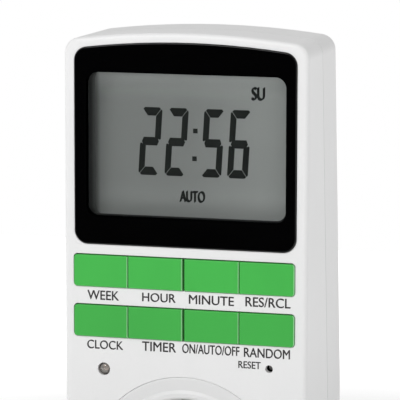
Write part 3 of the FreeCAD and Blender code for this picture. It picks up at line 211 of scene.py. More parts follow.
class ShaderTree:
    """Node tree of a material or of the world."""

    def __init__(self, tree: NodeTree) -> None:
        """Take over a tree.

        Args:
            tree: the tree, which is emptied.
        """
        self.tree = tree
        self.tree.nodes.clear()
        self._place: NodeSocket | None = None

    def node(self, kind: str, settings: dict | None = None, sockets: dict | None = None) -> Node:
        """Add any node: its settings first, then the values or links of its sockets.

        Args:
            kind: the node's type.
            settings: properties of the node.
            sockets: input name or number to a value, an Rgb, a Value or an output socket.

        Returns:
            The new node.
        """
        node = self.tree.nodes.new(kind)
        for name, setting in (settings or {}).items():
            setattr(node, name, setting)
        for name, given in (sockets or {}).items():
            given = given.port if isinstance(given, Value) else given
            if isinstance(given, NodeSocket):
                self.tree.links.new(given, node.inputs[name])
            else:
                node.inputs[name].default_value = given.rgba() if isinstance(given, Rgb) else given
        return node

    def value(self, kind: str, settings: dict, sockets: dict, output: str | int = 0) -> Value:
        """Add a node and wrap one of its outputs as a number."""
        return Value(self, self.node(kind, settings, sockets).outputs[output])

    def place(self) -> NodeSocket:
        """Object coordinates, in metres."""
        self._place = self._place or self.node("ShaderNodeTexCoord").outputs["Object"]
        return self._place

    def split(self, vector: NodeSocket) -> tuple[Value, Value, Value]:
        """Vector as three numbers."""
        parts = self.node("ShaderNodeSeparateXYZ", None, {"Vector": vector})
        return tuple(Value(self, parts.outputs[index]) for index in range(3))

    def axes(self) -> tuple[Value, Value, Value]:
        """Object coordinates as three numbers."""
        return self.split(self.place())

    def stretched(self, scale: Triple) -> NodeSocket:
        """Object coordinates scaled by axis."""
        return self.node("ShaderNodeMapping", None, {"Vector": self.place(), "Scale": scale}).outputs[0]

    def noise(self, scale: float, detail: float = 2.0, vector: NodeSocket | None = None) -> Value:
        """Noise from 0 to 1.

        Args:
            scale: features per metre.
            detail: octaves.
            vector: coordinates, the object's own where none are given.

        Returns:
            The noise.
        """
        sockets = {"Vector": vector or self.place(), "Scale": scale, "Detail": detail}
        return self.value("ShaderNodeTexNoise", {}, sockets)

    def mix(self, share: object, low: object, high: object) -> NodeSocket:
        """Mix two colours, each an Rgb or a colour socket."""
        return self.node("ShaderNodeMix", {"data_type": "RGBA"}, {0: share, 6: low, 7: high}).outputs[2]

    def scaled(self, colour: NodeSocket, factor: Value) -> NodeSocket:
        """Colour times a number."""
        sockets = {0: colour, "Scale": factor}
        return self.node("ShaderNodeVectorMath", {"operation": "SCALE"}, sockets).outputs[0]

    def bump(self, height: Value, depth: float) -> NodeSocket:
        """Normal from a height of 0 to 1 that stands for a depth in metres."""
        sockets = {"Height": height, "Distance": depth, "Strength": 1.0}
        return self.node("ShaderNodeBump", None, sockets).outputs[0]

    def principled(self, **sockets: object) -> NodeSocket:
        """Principled shader; an underscore in a name stands for a space."""
        named = {name.replace("_", " "): given for name, given in sockets.items()}
        return self.node("ShaderNodeBsdfPrincipled", None, named).outputs[0]

    def clear(self, tint: Rgb) -> NodeSocket:
        """Shader that lets tinted light straight through."""
        return self.node("ShaderNodeBsdfTransparent", None, {"Color": tint}).outputs[0]

    def fresnel(self, bend: float) -> Value:
        """Share of light that a clear surface with this refractive index throws back."""
        return self.value("ShaderNodeFresnel", {}, {"IOR": bend})

    def shade_mix(self, share: object, low: NodeSocket, high: NodeSocket) -> NodeSocket:
        """Mix two shaders."""
        return self.node("ShaderNodeMixShader", None, {0: share, 1: low, 2: high}).outputs[0]


@dataclass(frozen=True)
class Finish:
    """Base of every finish; a class below gives its shader."""

    name: str

    def material(self) -> Material:
        """Material of this finish, made once.

        Returns:
            The material.
        """
        made = bpy.data.materials.get(self.name)
        if made is None:
            made = bpy.data.materials.new(self.name)
            made.use_nodes = True
            tree = ShaderTree(made.node_tree)
            tree.node("ShaderNodeOutputMaterial", None, {"Surface": self.shader(tree)})
        return made

    def shader(self, tree: ShaderTree) -> NodeSocket:
        """Build the nodes.

        Args:
            tree: the material's tree.

        Returns:
            The shader.
        """
        raise NotImplementedError


@dataclass(frozen=True)
class MouldedPlastic(Finish):
    """Injection-moulded plastic with a spark-eroded grain, faint flow marks and handling gloss.

    Args:
        grain, grain_depth: features of the grain per metre, and its depth in metres.
        variation: how far the colour varies over the surface.
        edge: strength of a painted highlight, in its own lighter colour, on edges that face right, and by a
            share on edges that face down.
        cloud, flow: features of the broad clouds and of the upright flow marks per metre.
        speck, speck_shade: size of the specks against the grain, and their brightness.
        flow_gloss, grain_gloss: how far the flow marks and the grain change the roughness.
    """

    colour: Rgb = grey(0.8)
    roughness: float = 0.42
    grain: float = 3000.0
    grain_depth: float = 0.000006
    variation: float = 0.03
    specular: float = 0.5
    edge: float = 0.0
    down_share: float = 0.4
    painted_highlight: Rgb = Rgb(0.42, 0.8, 0.44)
    cloud: float = 28.0
    flow: float = 90.0
    flow_stretch: Triple = (1.0, 1.0, 0.25)
    flow_share: float = 0.4
    speck: float = 0.4
    speck_shade: float = 0.93
    speck_share: float = 0.25
    flow_gloss: float = 0.14
    grain_gloss: float = 0.1

    def shader(self, tree: ShaderTree) -> NodeSocket:
        """Build the nodes.

        Args:
            tree: the material's tree.

        Returns:
            The shader.
        """
        broad = tree.noise(self.cloud, 3.0)
        flow = tree.noise(self.flow, 4.0, tree.stretched(self.flow_stretch))
        fine = tree.noise(self.grain, 3.0)
        share = (broad * (1 - self.flow_share) + flow * self.flow_share).ramp(0.25, 0.75)
        dark = self.colour.times(1 - self.variation)
        light = self.colour.times(1 + self.variation / 2)
        colour = tree.mix(share, dark, light)
        specks = tree.noise(self.grain * self.speck, 1.0).ramp(0.62, 0.8)
        colour = tree.mix(specks * self.speck_share, colour, self.colour.times(self.speck_shade))
        # Painted highlight: a lighter colour mixed in on edges whose normal faces right or down.
        if self.edge:
            right, _, rise = tree.split(tree.node("ShaderNodeNewGeometry").outputs["Normal"])
            painted_highlight_share = right.ramp(0.3, 0.75).larger((-rise).ramp(0.3, 0.9) * self.down_share)
            colour = tree.mix(painted_highlight_share * self.edge, colour, self.painted_highlight)
        return tree.principled(
            Base_Color=colour,
            Roughness=self.roughness + flow.swing(self.flow_gloss) + fine.swing(self.grain_gloss),
            Normal=tree.bump(fine, self.grain_depth), Specular_IOR_Level=self.specular)


@dataclass(frozen=True)
class Ink(Finish):
    """Pad-printed ink, thinner and paler where the pad lifted.

    Args:
        wear, depth: features of the thin places per metre, and their depth in metres.
        fade: brightness of the thin places against the rest.
        uneven: how far the roughness varies.
    """

    colour: Rgb = Rgb(0.02, 0.018, 0.019)
    roughness: float = 0.45
    uneven: float = 0.2
    wear: float = 1400.0
    depth: float = 0.000004
    fade: float = 1.8

    def shader(self, tree: ShaderTree) -> NodeSocket:
        """Build the nodes.

        Args:
            tree: the material's tree.

        Returns:
            The shader.
        """
        worn = tree.noise(self.wear, 4.0).ramp(0.35, 0.75)
        return tree.principled(
            Base_Color=tree.mix(worn, self.colour, self.colour.times(self.fade)),
            Roughness=self.roughness + worn * self.uneven, Normal=tree.bump(worn, self.depth),
            Specular_IOR_Level=0.3)


@dataclass(frozen=True)
class FramePlastic(Finish):
    """Black plastic whose inner walls are painted lighter towards the glass behind them, as painted light.

    Args:
        front, back: depth in metres between which the painted light rises.
        blotch: how unevenly the painted light rises.
        uneven: how far the roughness varies.
        grain, grain_depth: features of the grain per metre, and its depth in metres.
    """

    front: float
    back: float
    colour: Rgb = Rgb(0.035, 0.036, 0.036)
    painted_light: Rgb = Rgb(0.2, 0.205, 0.203)
    blotch: float = 0.3
    roughness: float = 0.5
    uneven: float = 0.15
    grain: float = 2200.0
    grain_depth: float = 0.00001

    def shader(self, tree: ShaderTree) -> NodeSocket:
        """Build the nodes.

        Args:
            tree: the material's tree.

        Returns:
            The shader.
        """
        fine = tree.noise(self.grain, 3.0)
        # Painted light: the frame's colour gets lighter from its front towards the glass behind it.
        share = tree.axes()[1].ramp(self.front, self.back) * (1 + fine.swing(self.blotch))
        return tree.principled(
            Base_Color=tree.mix(share, self.colour, self.painted_light), Roughness=self.roughness + fine * self.uneven,
            Normal=tree.bump(fine, self.grain_depth), Specular_IOR_Level=0.3)


@dataclass(frozen=True)
class PrintedWindow(Finish):
    """Clear acrylic whose border is printed black round the viewing opening.

    Args:
        left, right, low, high, corner: edges of the opening and the round of its corners, in metres.
        bend: refractive index.
        smears, hairs: smears and hair scratches per metre, with their stretch by axis.
        wear: how far smears and scratches roughen it.
    """

    left: float = -0.02585
    right: float = 0.02635
    low: float = 0.06597
    high: float = 0.1027
    corner: float = 0.0028
    ink: Rgb = Rgb(0.0006, 0.0006, 0.0007)
    thin_ink: Rgb = Rgb(0.0012, 0.0012, 0.0014)
    pane: Rgb = Rgb(0.96, 0.97, 0.965)
    bend: float = 1.3
    roughness: float = 0.035
    specular: float = 0.32
    smears: float = 60.0
    smear_stretch: Triple = (1.0, 1.0, 3.0)
    hairs: float = 900.0
    hair_stretch: Triple = (1.0, 1.0, 0.08)
    wear: float = 0.03

    def beyond(self, along: Value, low: float, high: float) -> Value:
        """How far a place lies beyond the straight part of the opening's side, along one axis."""
        return abs(along - (low + high) / 2) - ((high - low) / 2 - self.corner)

    def shader(self, tree: ShaderTree) -> NodeSocket:
        """Build the nodes.

        Args:
            tree: the material's tree.

        Returns:
            The shader.
        """
        x, _, z = tree.axes()
        out_x = self.beyond(x, self.left, self.right)
        out_z = self.beyond(z, self.low, self.high)
        reach_x = out_x.larger(0.0)
        reach_z = out_z.larger(0.0)
        border = (reach_x * reach_x + reach_z * reach_z).root() + out_x.larger(out_z).smaller(0.0)
        smear = tree.noise(self.smears, 4.0, tree.stretched(self.smear_stretch))
        hair = tree.noise(self.hairs, 2.0, tree.stretched(self.hair_stretch)).ramp(0.7, 0.82)
        rough = self.roughness + (smear + hair) * self.wear
        black = tree.principled(
            Base_Color=tree.mix(smear, self.ink, self.thin_ink), Roughness=rough,
            Specular_IOR_Level=self.specular)
        gloss = tree.principled(Base_Color=grey(1.0), Metallic=1.0, Roughness=rough)
        pane = tree.shade_mix(tree.fresnel(self.bend), tree.clear(self.pane), gloss)
        return tree.shade_mix((border - self.corner).over(0.0), pane, black)


@dataclass(frozen=True)
class ClearResin(Finish):
    """Clear cast resin with faint swirls.

    Args:
        bend: refractive index.
        haze, swirl_haze: share of milky light everywhere, and what the swirls add.
        swirls, swirl_depth: swirls per metre, and their depth in metres.
        uneven: how far the roughness varies.
        shine: share of gloss where light falls on it squarely.
    """

    tint: Rgb = Rgb(0.9, 0.86, 0.82)
    bend: float = 1.45
    haze: float = 0.0
    swirl_haze: float = 0.2
    swirls: float = 500.0
    swirl_depth: float = 0.00002
    roughness: float = 0.05
    uneven: float = 0.08
    shine: float = 0.06

    def shader(self, tree: ShaderTree) -> NodeSocket:
        """Build the nodes.

        Args:
            tree: the material's tree.

        Returns:
            The shader.
        """
        swirl = tree.noise(self.swirls, 4.0)
        shade = self.tint.times(0.8)
        gloss = tree.principled(
            Base_Color=tree.mix(swirl, self.tint, shade), Metallic=1.0,
            Roughness=self.roughness + swirl * self.uneven, Normal=tree.bump(swirl, self.swirl_depth))
        milky = tree.principled(Base_Color=tree.mix(swirl, self.tint.times(0.6), shade), Roughness=0.3)
        body = tree.shade_mix(swirl * self.swirl_haze + self.haze, tree.clear(self.tint), milky)
        return tree.shade_mix(tree.fresnel(self.bend) * 0.9 + self.shine, body, gloss)


@dataclass(frozen=True)
class DisplayGlass(Finish):
    """Grey-green display glass under a matt polariser, with the light and shade that fall on it through the
    window painted into its colour.

    Args:
        centre_z, half_width: middle of the glass and half its width, in metres.
        right_from, right_gain: where it starts to get lighter towards the right, and by how much.
        top, lip: heights above the middle between which it gets lighter, and then darker at the edge.
        foot: depths below the middle between which it gets lighter.
        shadow, shadow_shade: width of the frame's shadow on the left in metres, and its brightness.
        clouds, cloud_share: broad clouds per metre, and how far they change the brightness.
        weave, weave_depth: features of the polariser's matt surface per metre, and their depth in metres.
        uneven: how far the roughness varies.
    """

    centre_z: float
    colour: Rgb = Rgb(0.336, 0.343, 0.339)
    half_width: float = 0.0258
    level: float = 0.92
    right_from: float = -0.006
    right_gain: float = 0.34
    top: Pair = (0.0085, 0.0175)
    top_gain: float = 1.1
    lip: Pair = (0.0168, 0.0185)
    lip_loss: float = 0.45
    foot: Pair = (0.008, 0.019)
    foot_gain: float = 0.38
    shadow: float = 0.0016
    shadow_share: float = 0.65
    shadow_shade: float = 0.2
    clouds: float = 45.0
    cloud_share: float = 0.06
    weave: float = 5200.0
    weave_depth: float = 0.000003
    weave_shade: float = 0.9
    weave_share: float = 0.2
    roughness: float = 0.5
    uneven: float = 0.15
    specular: float = 0.15

    def shader(self, tree: ShaderTree) -> NodeSocket:
        """Build the nodes.

        Args:
            tree: the material's tree.

        Returns:
            The shader.
        """
        x, _, z = tree.axes()
        cloud = tree.noise(self.clouds, 3.0)
        weave = tree.noise(self.weave, 1.0)
        # Painted light and shade: lighter towards the right, the top and the foot, darker at the top edge.
        rise = z - self.centre_z
        above = rise.ramp(*self.top)
        level = self.level + x.ramp(self.right_from, self.half_width) * self.right_gain
        level = level + above * above * self.top_gain - rise.ramp(*self.lip) * self.lip_loss
        level = level + (-rise).ramp(*self.foot) * self.foot_gain
        woven = tree.mix(weave * self.weave_share, self.colour, self.colour.times(self.weave_shade))
        colour = tree.scaled(woven, level * (1 + cloud.swing(self.cloud_share)))
        # Painted shadow of the frame along the left edge.
        shadow = 1 - (x + self.half_width).ramp(0.0, self.shadow)
        return tree.principled(
            Base_Color=tree.mix(shadow * self.shadow_share, colour, self.colour.times(self.shadow_shade)),
            Roughness=self.roughness + weave.swing(self.uneven), Normal=tree.bump(weave, self.weave_depth),
            Specular_IOR_Level=self.specular)


@dataclass(frozen=True)
class Segments(Finish):
    """Dark liquid crystal segments.

    Args:
        clouds, variation: cloudy places per metre, and how far they change the colour.
        uneven: how far the roughness varies.
    """

    colour: Rgb = Rgb(0.021, 0.023, 0.022)
    clouds: float = 300.0
    variation: float = 0.2
    roughness: float = 0.5
    uneven: float = 0.1

    def shader(self, tree: ShaderTree) -> NodeSocket:
        """Build the nodes.

        Args:
            tree: the material's tree.

        Returns:
            The shader.
        """
        cloud = tree.noise(self.clouds, 3.0)
        dark = self.colour.times(1 - self.variation)
        light = self.colour.times(1 + self.variation)
        return tree.principled(
            Base_Color=tree.mix(cloud, dark, light), Roughness=self.roughness + cloud * self.uneven,
            Specular_IOR_Level=0.1)


@dataclass(frozen=True)
class PlatedMetal(Finish):
    """Plated or rolled metal with fine lines, dull patches and tiny pits.

    Args:
        drawn, stretch: features of the drawn lines per metre, and their stretch by axis.
        patches, pits: dull patches and pits per metre.
        dull_shade: brightness of dull and pitted places.
        dull_share, pit_share: how far patches and pits take that brightness.
        dull_gloss, line_gloss: how far patches and lines change the roughness.
        depth: depth of lines and pits, in metres.
    """

    colour: Rgb
    roughness: float
    drawn: float = 2600.0
    stretch: Triple = (1.0, 0.06, 1.0)
    patches: float = 220.0
    pits: float = 2100.0
    dull_shade: float = 0.72
    dull_share: float = 0.5
    pit_share: float = 0.4
    dull_gloss: float = 0.14
    line_gloss: float = 0.12
    depth: float = 0.000005

    def shader(self, tree: ShaderTree) -> NodeSocket:
        """Build the nodes.

        Args:
            tree: the material's tree.

        Returns:
            The shader.
        """
        lines = tree.noise(self.drawn, 3.0, tree.stretched(self.stretch))
        dull = tree.noise(self.patches, 4.0).ramp(0.45, 0.75)
        pits = tree.noise(self.pits, 1.0).ramp(0.7, 0.85)
        pitted = pits * self.pit_share
        share = dull * self.dull_share + pitted
        return tree.principled(
            Base_Color=tree.mix(share, self.colour, self.colour.times(self.dull_shade)), Metallic=1.0,
            Roughness=self.roughness + dull * self.dull_gloss + lines.swing(self.line_gloss),
            Normal=tree.bump(lines - pitted, self.depth))


@dataclass(frozen=True)
class CircuitBoard(Finish):
    """Board with solder resist over copper tracks.

    Args:
        pitch: distance between tracks, in metres.
        width, length: width and length of a track, in pitches.
        depth: height of a track under the resist, in metres.
        fibres, fibre_shade, fibre_share: glass fibres per metre, their brightness and how far they take it.
        uneven: how far the roughness varies.
    """

    resist: Rgb = Rgb(0.012, 0.11, 0.035)
    track: Rgb = Rgb(0.03, 0.2, 0.06)
    pitch: float = 0.0026
    width: float = 0.16
    length: float = 3.4
    depth: float = 0.00002
    fibres: float = 900.0
    fibre_shade: float = 0.7
    fibre_share: float = 0.3
    roughness: float = 0.3
    uneven: float = 0.2

    def shader(self, tree: ShaderTree) -> NodeSocket:
        """Build the nodes.

        Args:
            tree: the material's tree.

        Returns:
            The shader.
        """
        x, _, z = tree.axes()
        joined = tree.node("ShaderNodeCombineXYZ", None, {0: x, 1: z}).outputs[0]
        sockets = {"Vector": joined, "Scale": 1.0, "Row Height": self.pitch, "Mortar Smooth": 0.1,
                   "Brick Width": self.pitch * self.length, "Mortar Size": self.pitch * self.width}
        tracks = tree.value("ShaderNodeTexBrick", {"offset": 0.37, "squash": 0.6}, sockets, "Fac")
        fibre = tree.noise(self.fibres, 2.0)
        colour = tree.mix(tracks, self.resist, self.track)
        colour = tree.mix(fibre * self.fibre_share, colour, self.resist.times(self.fibre_shade))
        raised = fibre * self.uneven
        return tree.principled(
            Base_Color=colour, Roughness=self.roughness + raised,
            Normal=tree.bump(tracks + raised, self.depth))


@dataclass(frozen=True)
class Banded(Finish):
    """Painted or sleeved part with bands across one axis.

    Args:
        axis: 0, 1 or 2, the axis that the bands lie across.
        bands: (middle, half width, colour) of each band, in metres.
        metal: how metallic the bands are.
        mottles, depth: mottled places per metre, and their depth in metres.
        dark, light: brightness between which the mottling goes.
        uneven: how far the roughness varies.
    """

    colour: Rgb
    axis: int
    bands: tuple[tuple[float, float, Rgb], ...]
    roughness: float = 0.35
    metal: float = 0.0
    mottles: float = 700.0
    depth: float = 0.00001
    dark: float = 0.85
    light: float = 1.1
    uneven: float = 0.12

    def shader(self, tree: ShaderTree) -> NodeSocket:
        """Build the nodes.

        Args:
            tree: the material's tree.

        Returns:
            The shader.
        """
        along = tree.axes()[self.axis]
        mottle = tree.noise(self.mottles, 3.0)
        colour = tree.mix(mottle, self.colour.times(self.dark), self.colour.times(self.light))
        metallic = 0.0
        for middle, half, paint in self.bands:
            inside = 1 - abs(along - middle).over(half)
            colour = tree.mix(inside, colour, paint)
            if self.metal:
                metallic = (inside * self.metal).larger(metallic)
        return tree.principled(
            Base_Color=colour, Roughness=self.roughness + mottle * self.uneven, Metallic=metallic,
            Normal=tree.bump(mottle, self.depth))


@dataclass(frozen=True)
class Winding(Finish):
    """Enamelled copper wire wound round an axis along Y.

    Args:
        pitch: distance between turns, in metres.
        groove: brightness of the painted shade between the turns.
        mottles: mottled places per metre.
        uneven: how far the roughness varies.
    """

    colour: Rgb = Rgb(0.62, 0.23, 0.09)
    pitch: float = 0.00022
    groove: float = 0.5
    mottles: float = 800.0
    roughness: float = 0.3
    uneven: float = 0.15

    def shader(self, tree: ShaderTree) -> NodeSocket:
        """Build the nodes.

        Args:
            tree: the material's tree.

        Returns:
            The shader.
        """
        turns = tree.axes()[1].ripple(self.pitch)
        mottle = tree.noise(self.mottles, 2.0)
        return tree.principled(
            # Painted shade: the colour is darker in the grooves between the turns.
            Base_Color=tree.mix(turns, self.colour.times(self.groove), self.colour), Metallic=0.8,
            Roughness=self.roughness + mottle * self.uneven, Normal=tree.bump(turns, self.pitch / 3))


@dataclass(frozen=True)
class StripedRubber(Finish):
    """Contact strip of alternate conducting and plain rubber layers.

    Args:
        pitch: distance between conducting layers, in metres.
        dust, depth: grains of dust per metre, and their depth in metres.
        uneven: how far the roughness varies.
    """

    dark: Rgb = grey(0.02)
    light: Rgb = Rgb(0.55, 0.5, 0.42)
    pitch: float = 0.0005
    dust: float = 1500.0
    depth: float = 0.00001
    roughness: float = 0.65
    uneven: float = 0.2

    def shader(self, tree: ShaderTree) -> NodeSocket:
        """Build the nodes.

        Args:
            tree: the material's tree.

        Returns:
            The shader.
        """
        layers = tree.axes()[0].ripple(self.pitch).ramp(0.4, 0.6)
        dust = tree.noise(self.dust, 3.0)
        return tree.principled(
            Base_Color=tree.mix(layers, self.dark, self.light),
            Roughness=self.roughness + dust * self.uneven, Normal=tree.bump(dust, self.depth))


@dataclass(frozen=True)
class FloorPaint(Finish):
    """Matt pale paint that glows further out, where the floor fades into the background.

    Args:
        clouds: cloudy places per metre.
        glow: strength of the glow.
        glow_from, glow_full: distances from the origin between which it rises, in metres.
    """

    dark: Rgb = grey(0.9)
    light: Rgb = grey(0.93)
    clouds: float = 3.0
    glow: float = 0.7
    glow_from: float = 0.1
    glow_full: float = 0.32

    def shader(self, tree: ShaderTree) -> NodeSocket:
        """Build the nodes.

        Args:
            tree: the material's tree.

        Returns:
            The shader.
        """
        x, y, _ = tree.axes()
        away = (x * x + y * y).root().ramp(self.glow_from, self.glow_full)
        return tree.principled(
            Base_Color=tree.mix(tree.noise(self.clouds), self.dark, self.light), Roughness=0.9,
            Emission_Color=tree.mix(away, grey(0.0), grey(1.0)), Emission_Strength=self.glow,
            Specular_IOR_Level=0.0)


LAMP_RESIN = ClearResin("lamp_resin", haze=0.2)
STEEL = Rgb(0.56, 0.56, 0.55)


def linked(name: str, data: object) -> Object:
    """New object in the scene.

    Args:
        name: name of the object.
        data: its mesh, curve, light or camera.

    Returns:
        The object.
    """
    made = bpy.data.objects.new(name, data)
    bpy.context.scene.collection.objects.link(made)
    return made


def new_piece(name: str, mesh: Mesh, finish: Finish, body: Body = Body.CASE) -> Object:
    """Make an object of a finished mesh, give it its material and let it ride.

    Args:
        name: name of the piece.
        mesh: mesh in its place, in metres.
        finish: finish of the whole piece.
        body: body that it rides on.

    Returns:
        The object.
    """
    piece = linked(name, mesh)
    mesh.materials.clear()
    mesh.materials.append(finish.material())
    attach(piece, body.value)
    log.info("made %s with %d faces", name, len(mesh.polygons))
    return piece


def everything(shape: BMesh) -> list:
    """All vertices, edges and faces of a bmesh."""
    return shape.verts[:] + shape.edges[:] + shape.faces[:]


def corners(made: dict) -> list[BMVert]:
    """Vertices among what an operator made."""
    return [item for item in made["geom"] if isinstance(item, BMVert)]


def mesh_of(name: str, shape: BMesh, smooth_deg: float = 35.0) -> Mesh:
    """Turn a bmesh into a clean mesh whose soft edges are smooth.

    Args:
        name: name of the mesh.
        shape: the bmesh, which is freed.
        smooth_deg: angle up to which edges are shaded smooth.

    Returns:
        The mesh.
    """
    bmesh.ops.remove_doubles(shape, verts=shape.verts, dist=1e-7)
    bmesh.ops.recalc_face_normals(shape, faces=shape.faces)
    mesh = bpy.data.meshes.new(name)
    shape.to_mesh(mesh)
    shape.free()
    mesh.shade_smooth()
    mesh.set_sharp_from_angle(angle=math.radians(smooth_deg))
    return mesh


def thicken(shape: BMesh, depth: float) -> None:
    """Give flat faces a thickness towards the front, in metres, closed on all sides."""
    grown = bmesh.ops.extrude_face_region(shape, geom=shape.faces[:], use_keep_orig=True)
    bmesh.ops.translate(shape, verts=corners(grown), vec=(0, -depth, 0))


def stand(shape: BMesh, origin: Triple, wide: float = MM, tall: float = MM, slant: float = 0.0) -> None:
    """Stand a flat drawing up against a surface that faces the front.

    Args:
        shape: the drawing, in its own x and y.
        origin: where its origin goes, in metres.
        wide, tall: metres to a unit of its x and y.
        slant: how far it leans to the right for each unit of height.
    """
    x, y, z = origin
    place = Matrix(((wide, slant * wide, 0, x), (0, 0, wide, y), (0, tall, 0, z), (0, 0, 0, 1)))
    bmesh.ops.transform(shape, matrix=place, verts=shape.verts)


@dataclass(frozen=True)
class Mark:
    """Printed word, the box that it fills on its surface and how far its strikes spread, in millimetres."""

    name: str
    text: str
    left: float
    right: float
    bottom: float
    top: float
    weight: float = 0.1


@dataclass
class Lettering:
    """Words printed on a surface that faces the front, each struck three times a little apart.

    Args:
        face_y: the surface, in metres.
        thickness: thickness of the print, in millimetres.
        sink: how deep the print reaches into the surface, in millimetres.
        layer: how far each further strike lies behind the one before, in millimetres.
        lift: how far a strike moves up against how far it moves sideways.
        curve_steps: steps in each curved stretch of a letter.
    """

    face_y: float
    finish: Finish
    slot: Slot
    thickness: float = 0.035
    sink: float = 0.01
    layer: float = 0.004
    lift: float = 0.7
    curve_steps: int = 6

    def flat_word(self, mark: Mark) -> BMesh:
        """Flat mesh of a word in the font's own size.

        Args:
            mark: the word.

        Returns:
            The bmesh, for the caller to free.
        """
        curve = bpy.data.curves.new(mark.name, "FONT")
        curve.body = mark.text
        curve.resolution_u = self.curve_steps
        holder = linked(mark.name, curve)
        graph = bpy.context.evaluated_depsgraph_get()
        flat = bpy.data.meshes.new_from_object(holder.evaluated_get(graph))
        bpy.data.objects.remove(holder)
        bpy.data.curves.remove(curve)
        shape = bmesh.new()
        shape.from_mesh(flat)
        bpy.data.meshes.remove(flat)
        bmesh.ops.remove_doubles(shape, verts=shape.verts, dist=1e-6)
        return shape

    def word_mesh(self, mark: Mark) -> Mesh:
        """Mesh of one word, fitted to its box.

        Args:
            mark: the word and its box.

        Returns:
            The mesh, in its place.
        """
        shape = self.flat_word(mark)
        xs = [vert.co.x for vert in shape.verts]
        ys = [vert.co.y for vert in shape.verts]
        wide = (mark.right - mark.left) * MM / (max(xs) - min(xs))
        tall = (mark.top - mark.bottom) * MM / (max(ys) - min(ys))
        back = self.face_y + self.sink * MM
        stand(shape, (mark.left * MM - min(xs) * wide, back, mark.bottom * MM - min(ys) * tall), wide, tall)
        word = everything(shape)
        for count, step in enumerate((-0.5, 0.5), 1):
            aside = mark.weight * step
            shift = Vector((aside, self.layer * count, aside * self.lift)) * MM
            bmesh.ops.translate(shape, verts=corners(bmesh.ops.duplicate(shape, geom=word)), vec=shift)
        thicken(shape, (self.thickness + self.sink) * MM)
        return mesh_of(mark.name, shape)

    def build(self, marks: Sequence[Mark]) -> None:
        """Make every word a piece of its own."""
        for mark in marks:
            new_piece(mark.name, self.word_mesh(mark), self.finish)


class Segment(Enum):
    """Segments of a digit: -1, 0 or 1 for left, neither or right, and for low, middle or high."""

    A = (0, 1)
    B = (1, 1)
    C = (1, -1)
    D = (0, -1)
    E = (-1, -1)
    F = (-1, 1)
    G = (0, 0)


